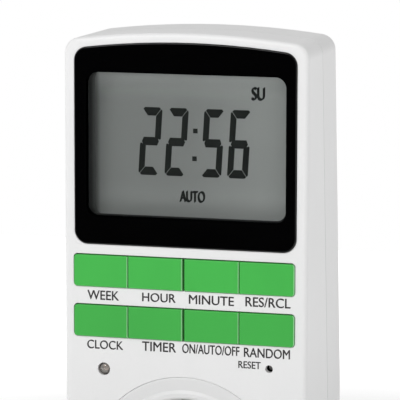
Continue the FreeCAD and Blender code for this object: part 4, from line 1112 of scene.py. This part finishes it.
@dataclass
class DisplayMarks:
    """Digits, colon and words that the display shows, in millimetres.

    Args:
        face_y: front of the display glass, in metres.
        foot, height, width: foot of the digits above the object's foot, and their height and width.
        upright, level: thickness of the upright and of the level segments.
        waist, notch, tip: how the middle segment and the inner ends of the uprights are pointed.
        gap: gap between segments.
        slant: how far a digit leans for each unit of height.
        corner: cut of the outer corners.
        sink: how deep the marks reach into the glass.
        dot: side of a dot of the colon.
        digits: left end of each digit's foot, and its lit segments.
        dots: middle of each dot.
    """

    face_y: float
    foot: float = 75.98
    height: float = 17.4
    width: float = 5.45
    upright: float = 1.6
    level: float = 2.15
    waist: float = 0.42
    notch: float = 0.2
    tip: float = 0.4
    gap: float = 0.11
    slant: float = 0.06
    corner: float = 0.75
    thickness: float = 0.02
    sink: float = 0.005
    dot: float = 1.2
    digits: tuple[tuple[float, str], ...] = (
        (-14.35, "ABDEG"), (-7.42, "ABDEG"), (2.12, "ACDFG"), (9.07, "ACDEFG"))
    dots: tuple[Pair, ...] = ((0.78, 87.68), (0.56, 80.6))
    words: tuple[Mark, ...] = (
        Mark("display_weekday", "SU", 15.56, 18.83, 96.0, 99.26, 0.36),
        Mark("display_mode", "AUTO", -3.24, 3.26, 69.45, 72.3, 0.34))
    finish: Finish = Segments("display_segment")

    def cut(self, shape: BMesh, point: Pair, normal: Pair) -> None:
        """Cut away what lies beyond a line.

        Args:
            shape: the flat shape.
            point: point of the line, which is set back by half the gap.
            normal: direction of what is cut away.
        """
        way = Vector((*normal, 0)).normalized()
        base = Vector((*point, 0)) - way * (self.gap / 2)
        bmesh.ops.bisect_plane(shape, geom=everything(shape), plane_co=base, plane_no=way, clear_outer=True)

    def bar(self, start: Pair, end: Pair) -> BMesh:
        """Flat rectangle.

        Args:
            start, end: opposite corners.

        Returns:
            The bmesh, for the caller to free.
        """
        shape = bmesh.new()
        size = Vector((abs(end[0] - start[0]), abs(end[1] - start[1]), 1))
        middle = (Vector((*start, 0)) + Vector((*end, 0))) / 2
        place = Matrix.Translation(middle) @ Matrix.Diagonal(size.to_4d())
        bmesh.ops.create_grid(shape, x_segments=1, y_segments=1, size=0.5, matrix=place)
        return shape

    def segment(self, which: Segment) -> BMesh:
        """One segment with mitred ends, in the digit's own upright plane.

        Args:
            which: one of the seven.

        Returns:
            The flat segment, for the caller to free.
        """
        way, rise = which.value
        half = self.height / 2
        sides = ((0, -1), (self.width, 1))
        if which is Segment.G:
            beam = self.level / 2
            shape = self.bar((0, half - beam), (self.width, half + beam))
            for side, out in sides:
                for up in (-1, 1):
                    self.cut(shape, (side - out * self.waist, half), (out * beam, up * self.waist))
            return shape
        edge = half + rise * half
        if way:
            side = self.width if way > 0 else 0
            inner = half + rise * self.notch
            shape = self.bar((side, edge), (side - way * self.upright, half))
            self.cut(shape, (side, edge), (-way * self.level, rise * self.upright))
            self.cut(shape, (side, inner), (-way * (self.level / 2 - self.notch), -rise * self.upright))
            self.cut(shape, (side, inner + rise * self.tip), (way, -rise))
        else:
            shape = self.bar((0, edge), (self.width, edge - rise * self.level))
            for side, out in sides:
                self.cut(shape, (side, edge), (out * self.level, -rise * self.upright))
        for side, out in sides:
            self.cut(shape, (side - out * self.corner, edge), (out, rise))
        return shape

    def solid(self, name: str, flat: BMesh, left: float, foot: float, slant: float) -> Mesh:
        """Mark that stands on the glass.

        Args:
            name: name of the mesh.
            flat: the flat mark, which is freed.
            left, foot: where its origin goes.
            slant: how far it leans for each unit of height.

        Returns:
            The mesh, in its place.
        """
        stand(flat, (left * MM, self.face_y + self.sink * MM, foot * MM), slant=slant)
        thicken(flat, self.thickness * MM)
        return mesh_of(name, flat)

    def digit_mesh(self, name: str, left: float, lit: str) -> Mesh:
        """Mesh of all lit segments of a digit.

        Args:
            name: name of the mesh.
            left: left end of the digit's foot.
            lit: letters of the lit segments.

        Returns:
            The mesh, in its place.
        """
        whole = bmesh.new()
        for letter in lit:
            part = self.segment(Segment[letter])
            mesh = bpy.data.meshes.new("segment")
            part.to_mesh(mesh)
            part.free()
            whole.from_mesh(mesh)
            bpy.data.meshes.remove(mesh)
        return self.solid(name, whole, left, self.foot, self.slant)

    def dot_mesh(self, name: str, x: float, z: float) -> Mesh:
        """Mesh of one dot of the colon."""
        half = self.dot / 2
        return self.solid(name, self.bar((-half, -half), (half, half)), x, z, 0.0)

    def build(self) -> None:
        """Make the digits, the colon and the words."""
        for index, (left, lit) in enumerate(self.digits, 1):
            name = f"display_digit_{index}"
            new_piece(name, self.digit_mesh(name, left, lit), self.finish)
        for index, (x, z) in enumerate(self.dots, 1):
            name = f"display_colon_{index}"
            new_piece(name, self.dot_mesh(name, x, z), self.finish)
        Lettering(self.face_y, self.finish, Slot.DISPLAY, self.thickness).build(self.words)


@dataclass
class Indicator:
    """Clear round lamp with its cup, die and two lead posts, in millimetres.

    Args:
        box_low, box_high: box of the plain lamp that it stands for, in metres.
        dome_round, dome_steps: round of the lens's front edge, and its steps.
        post_sink: how far the posts reach into the lens.
        anvil_reach, anvil_front, anvil_back: how far the anvil reaches inwards, and its ends.
        edge_round: bevel of the lead frame's edges.
        cup: half section of the cup on its post, as radius and depth behind the tip.
        die: span of the die in x, depth and z round the lamp's axis.
    """

    box_low: Vector
    box_high: Vector
    radius: float = 1.5
    flange_radius: float = 1.9
    flange_height: float = 0.9
    length: float = 5.2
    dome_round: float = 1.1
    dome_steps: int = 8
    turn_steps: int = 48
    post_width: float = 0.5
    post_sink: float = 0.2
    lead_spacing: float = 1.27
    anvil_reach: float = 0.35
    anvil_front: float = 2.1
    anvil_back: float = 0.3
    edge_round: float = 0.04
    cup: tuple[Pair, ...] = (
        (0.0, 2.25), (0.28, 2.25), (0.65, 1.75), (0.75, 1.75), (0.75, 2.1),
        (0.4, 2.7), (0.3, 3.3), (0.3, 4.0), (0.0, 4.0))
    die: tuple[Pair, Pair, Pair] = ((-0.15, 0.15), (2.12, 2.26), (-0.15, 0.15))

    def tip(self) -> Vector:
        """Middle of the lamp's tip."""
        middle = (self.box_low + self.box_high) / 2
        return Vector((middle.x, self.box_low.y, middle.z))

    def turned(self, name: str, profile: Sequence[Pair]) -> Mesh:
        """Solid of revolution about the lamp's axis.

        Args:
            name: name of the mesh.
            profile: (radius, depth behind the tip) from the axis round to the axis.

        Returns:
            The mesh.
        """
        shape = bmesh.new()
        tip = self.tip()
        verts = [shape.verts.new(tip + Vector((radius, depth, 0)) * MM) for radius, depth in profile]
        edges = [shape.edges.new(pair) for pair in zip(verts[:-1], verts[1:])]
        bmesh.ops.spin(shape, geom=verts + edges, cent=tip, axis=(0, 1, 0), dvec=(0, 0, 0),
                       angle=2 * math.pi, steps=self.turn_steps, use_merge=True)
        return mesh_of(name, shape)

    def lens_profile(self) -> list[Pair]:
        """Half section of the lens, from its tip to its flat back.

        Returns:
            Radius and depth of each point.
        """
        flat = self.radius - self.dome_round
        flange = self.length - self.flange_height
        points = [(0.0, 0.0)]
        for index in range(1, self.dome_steps + 1):
            angle = math.pi / 2 * index / self.dome_steps
            points.append((flat + self.dome_round * math.sin(angle),
                           self.dome_round * (1 - math.cos(angle))))
        return points + [(self.radius, flange), (self.flange_radius, flange),
                         (self.flange_radius, self.length), (0.0, self.length)]

    def lead_blocks(self) -> list[tuple[Pair, Pair, Pair]]:
        """Spans of the two posts and the anvil in x, depth and z round the lamp's axis.

        Returns:
            One entry per block.
        """
        half = self.post_width / 2
        tail = (self.box_high.y - self.box_low.y) / MM
        deep = (self.length - self.post_sink, tail)
        posts = [((middle - half, middle + half), deep, (-half, half))
                 for middle in (-self.lead_spacing, self.lead_spacing)]
        across = (self.lead_spacing - half - self.anvil_reach, self.lead_spacing + half)
        return posts + [(across, (self.anvil_front, self.length - self.anvil_back), (-half, half))]

    def block_mesh(self, name: str, blocks: Sequence[tuple[Pair, Pair, Pair]]) -> Mesh:
        """Small bevelled blocks.

        Args:
            name: name of the mesh.
            blocks: span of each in x, depth and z round the lamp's axis.

        Returns:
            The mesh.
        """
        shape = bmesh.new()
        for block in blocks:
            low, high = (Vector(end) * MM for end in zip(*block))
            middle = self.tip() + (low + high) / 2
            place = Matrix.Translation(middle) @ Matrix.Diagonal((high - low).to_4d())
            bmesh.ops.create_cube(shape, size=1.0, matrix=place)
        bmesh.ops.bevel(shape, geom=shape.edges[:], offset=self.edge_round * MM, affect="EDGES", segments=2,
                        profile=0.5, material=-1)
        return mesh_of(name, shape)

    def build(self) -> None:
        """Make the lens, the cup, the lead frame and the die, in place of the plain lamp."""
        metal = PlatedMetal("lead_frame", Rgb(0.62, 0.5, 0.42), 0.35)
        dark = Ink("lamp_die", Rgb(0.05, 0.04, 0.02))
        lens_mesh = self.turned("indicator_lens", self.lens_profile())
        lens = new_piece("indicator_lens", lens_mesh, LAMP_RESIN)
        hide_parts("indicator_led")
        new_piece("indicator_cup", self.turned("indicator_cup", self.cup), metal)
        leads = self.block_mesh("indicator_leads", self.lead_blocks())
        new_piece("indicator_leads", leads, metal)
        new_piece("indicator_die", self.block_mesh("indicator_die", [self.die]), dark)


@dataclass
class ShutterSpring:
    """Coil spring of the safety shutter, made anew in place of the plain spring.

    Args:
        box_low, box_high: box of the plain spring that it stands for, in metres.
        wire: radius of its wire, in millimetres.
        turns: number of its turns.
        steps: steps of one turn.
        sides: sides of the wire.
    """

    box_low: Vector
    box_high: Vector
    wire: float = 0.16
    turns: int = 4
    steps: int = 28
    sides: int = 12

    def coil_mesh(self) -> Mesh:
        """Round wire wound about the line on which the shutter slides.

        Returns:
            The mesh.
        """
        wire = self.wire * MM
        size = self.box_high - self.box_low
        middle = (self.box_low + self.box_high) / 2
        radius = size.z / 2 - wire
        length = size.x - 2 * wire
        start = Vector((self.box_low.x + wire, middle.y, middle.z))
        count = self.turns * self.steps
        lean = math.atan2(length / (2 * math.pi * self.turns), radius)
        place = Matrix.Translation(start + Vector((0, 0, radius)))
        place = place @ Matrix.Rotation(lean, 4, "Z") @ Matrix.Rotation(math.pi / 2, 4, "X")
        shape = bmesh.new()
        bmesh.ops.create_circle(shape, segments=self.sides, radius=wire, matrix=place)
        bmesh.ops.spin(shape, geom=shape.verts[:] + shape.edges[:], cent=start, axis=(1, 0, 0),
                       dvec=(length / count, 0, 0), angle=2 * math.pi * self.turns, steps=count)
        bmesh.ops.holes_fill(shape, edges=[edge for edge in shape.edges if edge.is_boundary], sides=0)
        return mesh_of("shutter_coil", shape)

    def build(self) -> None:
        """Make the coil, in place of the plain spring, and work out how much of its length the shutter's full
        travel leaves.
        """
        finish = PlatedMetal("spring_wire", STEEL, 0.3)
        coil = new_piece("shutter_coil", self.coil_mesh(), finish)
        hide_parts("shutter_spring")
        joints = frame["record"]["behaviour"]["joints"]
        slide = next(joint for joint in joints if joint["name"] == "shutter_slide")
        stop = slide["deforming_nodes"][0]["fixed_end_x_m"]
        keep = 1 - slide["range_m"][1] / (stop - self.box_low.x)
        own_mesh(coil)


@dataclass
class Dressing:
    """Finishes of the nodes that come from the frame, with sizes in metres.

    Args:
        frame_lip: how far behind its front the display's frame stays black, before its painted light begins.
        low_row_shade: brightness of the lower row of keys against the upper, as painted shade.
        fuse_cap: half the length of a fuse's end cap.
        lid: half the thickness of the smoothing capacitor's bare end.
        ring, rings: half the width of a resistor's colour rings, and their places and colours.
        diode_ring: place of a diode's ring above its foot, and half its width.
        blue_wire: middle and half width of the stretch where the mains wire is blue.
    """

    frame_lip: float = 0.0015
    low_row_shade: float = 0.92
    fuse_cap: float = 0.0012
    lid: float = 0.0002
    ring: float = 0.0003
    rings: tuple[tuple[float, Rgb], ...] = (
        (-0.002, Rgb(0.25, 0.03, 0.02)), (-0.0011, grey(0.02)), (-0.0002, Rgb(0.5, 0.2, 0.02)),
        (0.0019, Rgb(0.55, 0.4, 0.1)))
    diode_ring: Pair = (0.0025, 0.0004)
    blue_wire: Pair = (0.013, 0.003)

    def keys(self) -> dict[str, Finish]:
        """Finishes of the keys, whose lower row is a little darker as painted shade and whose right and lower
        edges get a painted highlight, and of the switches' nubs.

        Returns:
            Finish of each node.
        """
        key = MouldedPlastic("key_green_plastic", Rgb(0.055, 0.45, 0.07), 0.38, 2400.0, variation=0.06,
                             specular=0.25, edge=0.8)
        # Painted shade: the lower row of keys is a darker copy of the same green plastic.
        painted_shade_key = replace(key, name="key_green_painted_shade", colour=key.colour.times(self.low_row_shade))
        nub = MouldedPlastic("nub_brown", Rgb(0.16, 0.06, 0.03), 0.4)
        between = (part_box("week_key")[0].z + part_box("clock_key")[1].z) / 2
        plan = {name: nub for name in frame["nodes"] if name.endswith("_nub")}
        for name in frame["nodes"]:
            if name.endswith("_key"):
                plan[name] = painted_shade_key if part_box(name)[1].z < between else key
        return plan

    def plastics(self) -> dict[str, Finish]:
        """Finishes of the moulded parts.

        Returns:
            Finish of each node.
        """
        socket = MouldedPlastic("socket_white", grey(0.745), 0.4)
        holder = MouldedPlastic("holder_grey", Rgb(0.5, 0.5, 0.48), 0.5)
        switch = MouldedPlastic("switch_black", Rgb(0.02, 0.02, 0.022), 0.45)
        return {
            "front_shell": MouldedPlastic("case_front_plastic", grey(0.8)),
            "rear_shell": MouldedPlastic("case_back_plastic", grey(0.785), 0.45),
            "socket_cup": socket,
            "socket_base": socket,
            "safety_shutter": MouldedPlastic("shutter_grey", Rgb(0.55, 0.55, 0.54), 0.4),
            "lcd_holder": holder,
            "contact_carrier": holder,
            "switch_housings": switch,
            "relay_base": switch,
            "relay_cover": MouldedPlastic("relay_blue", Rgb(0.02, 0.07, 0.25), 0.35),
            "film_capacitor": MouldedPlastic("film_yellow", Rgb(0.7, 0.42, 0.04), 0.3),
            "driver_chip": MouldedPlastic("chip_epoxy", Rgb(0.018, 0.018, 0.019), 0.55, 5200.0, 0.00001),
            "surge_varistor": MouldedPlastic("varistor_blue", Rgb(0.02, 0.12, 0.4), 0.35, 1200.0, 0.00002),
            "reset_nub": MouldedPlastic("reset_pin_grey", Rgb(0.6, 0.58, 0.58), 0.4),
        }

    def metals(self) -> dict[str, Finish]:
        """Finishes of the metal parts.

        Returns:
            Finish of each node.
        """
        groups = (
            (PlatedMetal("screw_steel_bright", STEEL, 0.3),
             ("case_screws", "board_screws", "carrier_screws", "shutter_spring")),
            (PlatedMetal("nickel_bright", Rgb(0.73, 0.71, 0.66), 0.2),
             ("relay_armature", "clock_crystal", "battery_tabs", "earth_bracket", "link_wires", "live_pin",
              "neutral_pin")),
            (PlatedMetal("brass_bright", Rgb(0.72, 0.52, 0.2), 0.25),
             ("relay_contact", "live_contact", "neutral_contact")),
            (PlatedMetal("cell_steel", grey(0.6), 0.28), ("backup_battery",)),
            (Winding("relay_winding"), ("relay_coil",)),
        )
        return {name: finish for finish, names in groups for name in names}

    def display(self) -> dict[str, Finish]:
        """Finishes of the display and the lamp.

        Returns:
            Finish of each node.
        """
        frame_low, frame_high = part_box("display_bezel")
        glass_low, glass_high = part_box("lcd_panel")
        return {
            "display_window": PrintedWindow("window_acrylic"),
            "display_bezel": FramePlastic("frame_black", frame_low.y + self.frame_lip, frame_high.y),
            "lcd_panel": DisplayGlass("display_glass", (glass_low.z + glass_high.z) / 2),
            "contact_strip": StripedRubber("striped_rubber"),
            "indicator_led": LAMP_RESIN,
        }

    def boards(self) -> dict[str, Finish]:
        """Finishes of the boards and of the painted and sleeved parts on them.

        Returns:
            Finish of each node.
        """
        fuse_ends = (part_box("fuse")[0].z + self.fuse_cap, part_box("fuse")[1].z - self.fuse_cap)
        caps = tuple((end, self.fuse_cap, Rgb(0.7, 0.68, 0.64)) for end in fuse_ends)
        lid = ((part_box("smoothing_capacitor")[0].y, self.lid, grey(0.7)),)
        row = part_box("resistors")
        middle = (row[0].x + row[1].x) / 2
        rings = tuple((middle + place, self.ring, paint) for place, paint in self.rings)
        rise, half = self.diode_ring
        diode_ring = ((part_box("diodes")[0].z + rise, half, grey(0.6)),)
        blue = ((*self.blue_wire, Rgb(0.02, 0.09, 0.4)),)
        paper = Rgb(0.2, 0.11, 0.04)
        track = Rgb(0.32, 0.17, 0.06)
        return {
            "control_board": CircuitBoard("control_laminate"),
            "power_board": CircuitBoard("power_laminate", paper, track, 0.004),
            "fuse": Banded("fuse_tube", Rgb(0.75, 0.8, 0.78), 2, caps, 0.15, 1.0),
            "smoothing_capacitor": Banded("capacitor_sleeve", Rgb(0.015, 0.02, 0.05), 1, lid, 0.3, 1.0),
            "resistors": Banded("resistor_paint", Rgb(0.55, 0.4, 0.24), 0, rings),
            "diodes": Banded("diode_body", grey(0.02), 2, diode_ring),
            "power_wires": Banded("wire_covers", Rgb(0.22, 0.08, 0.03), 0, blue),
        }

    def build(self) -> None:
        """Give every node its finish."""
        plan = self.keys() | self.plastics() | self.metals() | self.display() | self.boards()
        for name, node in frame["nodes"].items():
            material = plan[name].material()
            if not node.data.materials:
                node.data.materials.append(material)
            for holder in node.material_slots:
                holder.material = material
            log.info("dressed %s", name)


@dataclass
class Studio:
    """Camera, light, floor and surrounding light.

    Args:
        front_y, floor_z: front of the case, and the floor, in metres.
        lens, roll_deg: focal length in millimetres, and roll of the camera.
        eye: place of the camera, its depth counted from the front of the case.
        back: way from the object to the camera.
        light_at, light_size, light_power: place, side and power of the soft light.
        light_to: height of the point that the soft light faces.
        floor_half: half the side of the floor.
        sky, ground, horizon: surrounding light above and below, and the rise between which it changes.
        patch_deg: angles from its middle between which the dark patch in that light fades.
    """

    front_y: float
    floor_z: float
    lens: float = 269.808
    roll_deg: float = 0.0846
    eye: Triple = (0.21, -0.71586, 0.17993)
    back: Triple = (0.28187, -0.97971, 0.14885)
    light_at: Triple = (-0.12, -0.45, 0.45)
    light_size: float = 0.3
    light_power: float = 1.31
    light_to: float = 0.04
    floor_half: float = 0.5
    sky: float = 0.58
    ground: float = 1.0
    horizon: Pair = (-0.05, 0.05)
    patch_deg: Pair = (20, 10)

    def camera(self) -> None:
        """Place the camera where the photograph was taken from."""
        data = bpy.data.cameras.new("camera")
        data.lens = self.lens
        data.sensor_width = 36.0
        data.sensor_fit = "HORIZONTAL"
        data.clip_start = 0.05
        data.clip_end = 20.0
        back = Vector(self.back).normalized()
        level = Vector((0, 0, 1)).cross(back).normalized()
        above = back.cross(level)
        turn = math.radians(self.roll_deg)
        right = level * math.cos(turn) + above * math.sin(turn)
        upward = above * math.cos(turn) - level * math.sin(turn)
        place = Matrix((right, upward, back)).transposed().to_4x4()
        place.translation = Vector((self.eye[0], self.front_y + self.eye[1], self.eye[2]))
        camera = linked("camera", data)
        camera.matrix_world = place
        bpy.context.scene.camera = camera

    def light(self) -> None:
        """Square soft light that looks at the middle of the object."""
        data = bpy.data.lights.new("front_light", "AREA")
        data.shape = "SQUARE"
        data.size = self.light_size
        data.energy = self.light_power
        lamp = linked("front_light", data)
        target = Vector((0.0, self.front_y / 2, self.light_to))
        lamp.location = self.light_at
        lamp.rotation_euler = (Vector(self.light_at) - target).to_track_quat("Z", "Y").to_euler()

    def floor(self) -> None:
        """Pale floor that the object stands on."""
        shape = bmesh.new()
        bmesh.ops.create_grid(shape, x_segments=1, y_segments=1, size=self.floor_half,
                              matrix=Matrix.Translation((0, 0, self.floor_z)))
        mesh = bpy.data.meshes.new("floor")
        shape.to_mesh(mesh)
        shape.free()
        floor = linked("floor", mesh)
        mesh.materials.append(FloorPaint("floor_paint").material())

    def surround(self) -> None:
        """Even light all round with a dark patch, and plain white where nothing else is seen."""
        world = bpy.data.worlds.new("studio")
        bpy.context.scene.world = world
        world.use_nodes = True
        tree = ShaderTree(world.node_tree)
        way = tree.node("ShaderNodeTexCoord").outputs["Generated"]
        rise = tree.split(way)[2]
        mirror = (-self.back[0], self.back[1], -self.back[2])
        sockets = {0: way, 1: mirror}
        toward = tree.value("ShaderNodeVectorMath", {"operation": "DOT_PRODUCT"}, sockets, "Value")
        lit = 1 - toward.ramp(*(math.cos(math.radians(angle)) for angle in self.patch_deg))
        level = self.ground + (self.sky - self.ground) * rise.ramp(*self.horizon)
        around, seen = (
            tree.node("ShaderNodeBackground", None, {"Color": grey(1.0), "Strength": strength}).outputs[0]
            for strength in (level * lit, 1.0))
        path = tree.node("ShaderNodeLightPath").outputs["Is Camera Ray"]
        tree.node("ShaderNodeOutputWorld", None, {"Surface": tree.shade_mix(path, around, seen)})

    def build(self) -> None:
        """Set up the whole studio."""
        self.camera()
        self.floor()
        self.surround()
        self.light()
        bpy.context.scene.view_settings.view_transform = "Standard"
        log.info("studio is set")


KEY_WORDS = (
    Mark("print_week", "WEEK", -25.74, -17.40, 44.40, 46.75),
    Mark("print_hour", "HOUR", -11.16, -2.37, 44.58, 46.80),
    Mark("print_minute", "MINUTE", 1.19, 12.93, 44.55, 46.85),
    Mark("print_recall", "RES/RCL", 16.00, 27.60, 44.68, 47.10),
    Mark("print_clock", "CLOCK", -25.87, -16.31, 31.66, 33.88),
    Mark("print_timer", "TIMER", -11.18, -2.25, 31.82, 34.20),
    Mark("print_mode", "ON/AUTO/OFF", -0.55, 14.41, 31.82, 34.20),
    Mark("print_random", "RANDOM", 15.65, 27.55, 31.72, 34.10),
    Mark("print_reset", "RESET", 14.20, 19.98, 28.80, 30.60, 0.08),
)


def main() -> None:
    """Build the studio, dress the frame and add the finer pieces in order."""
    logging.basicConfig(level=logging.INFO, format="%(name)s: %(message)s")
    front_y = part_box("front_shell")[0].y
    Studio(front_y, CAD_BOX[0][2] - FLOOR_GAP).build()
    Dressing().build()
    Lettering(front_y, Ink("legend_ink"), Slot.PRINT).build(KEY_WORDS)
    DisplayMarks(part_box("lcd_panel")[0].y).build()
    Indicator(*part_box("indicator_led")).build()
    ShutterSpring(*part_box("shutter_spring")).build()


if __name__ == "__main__":
    main()
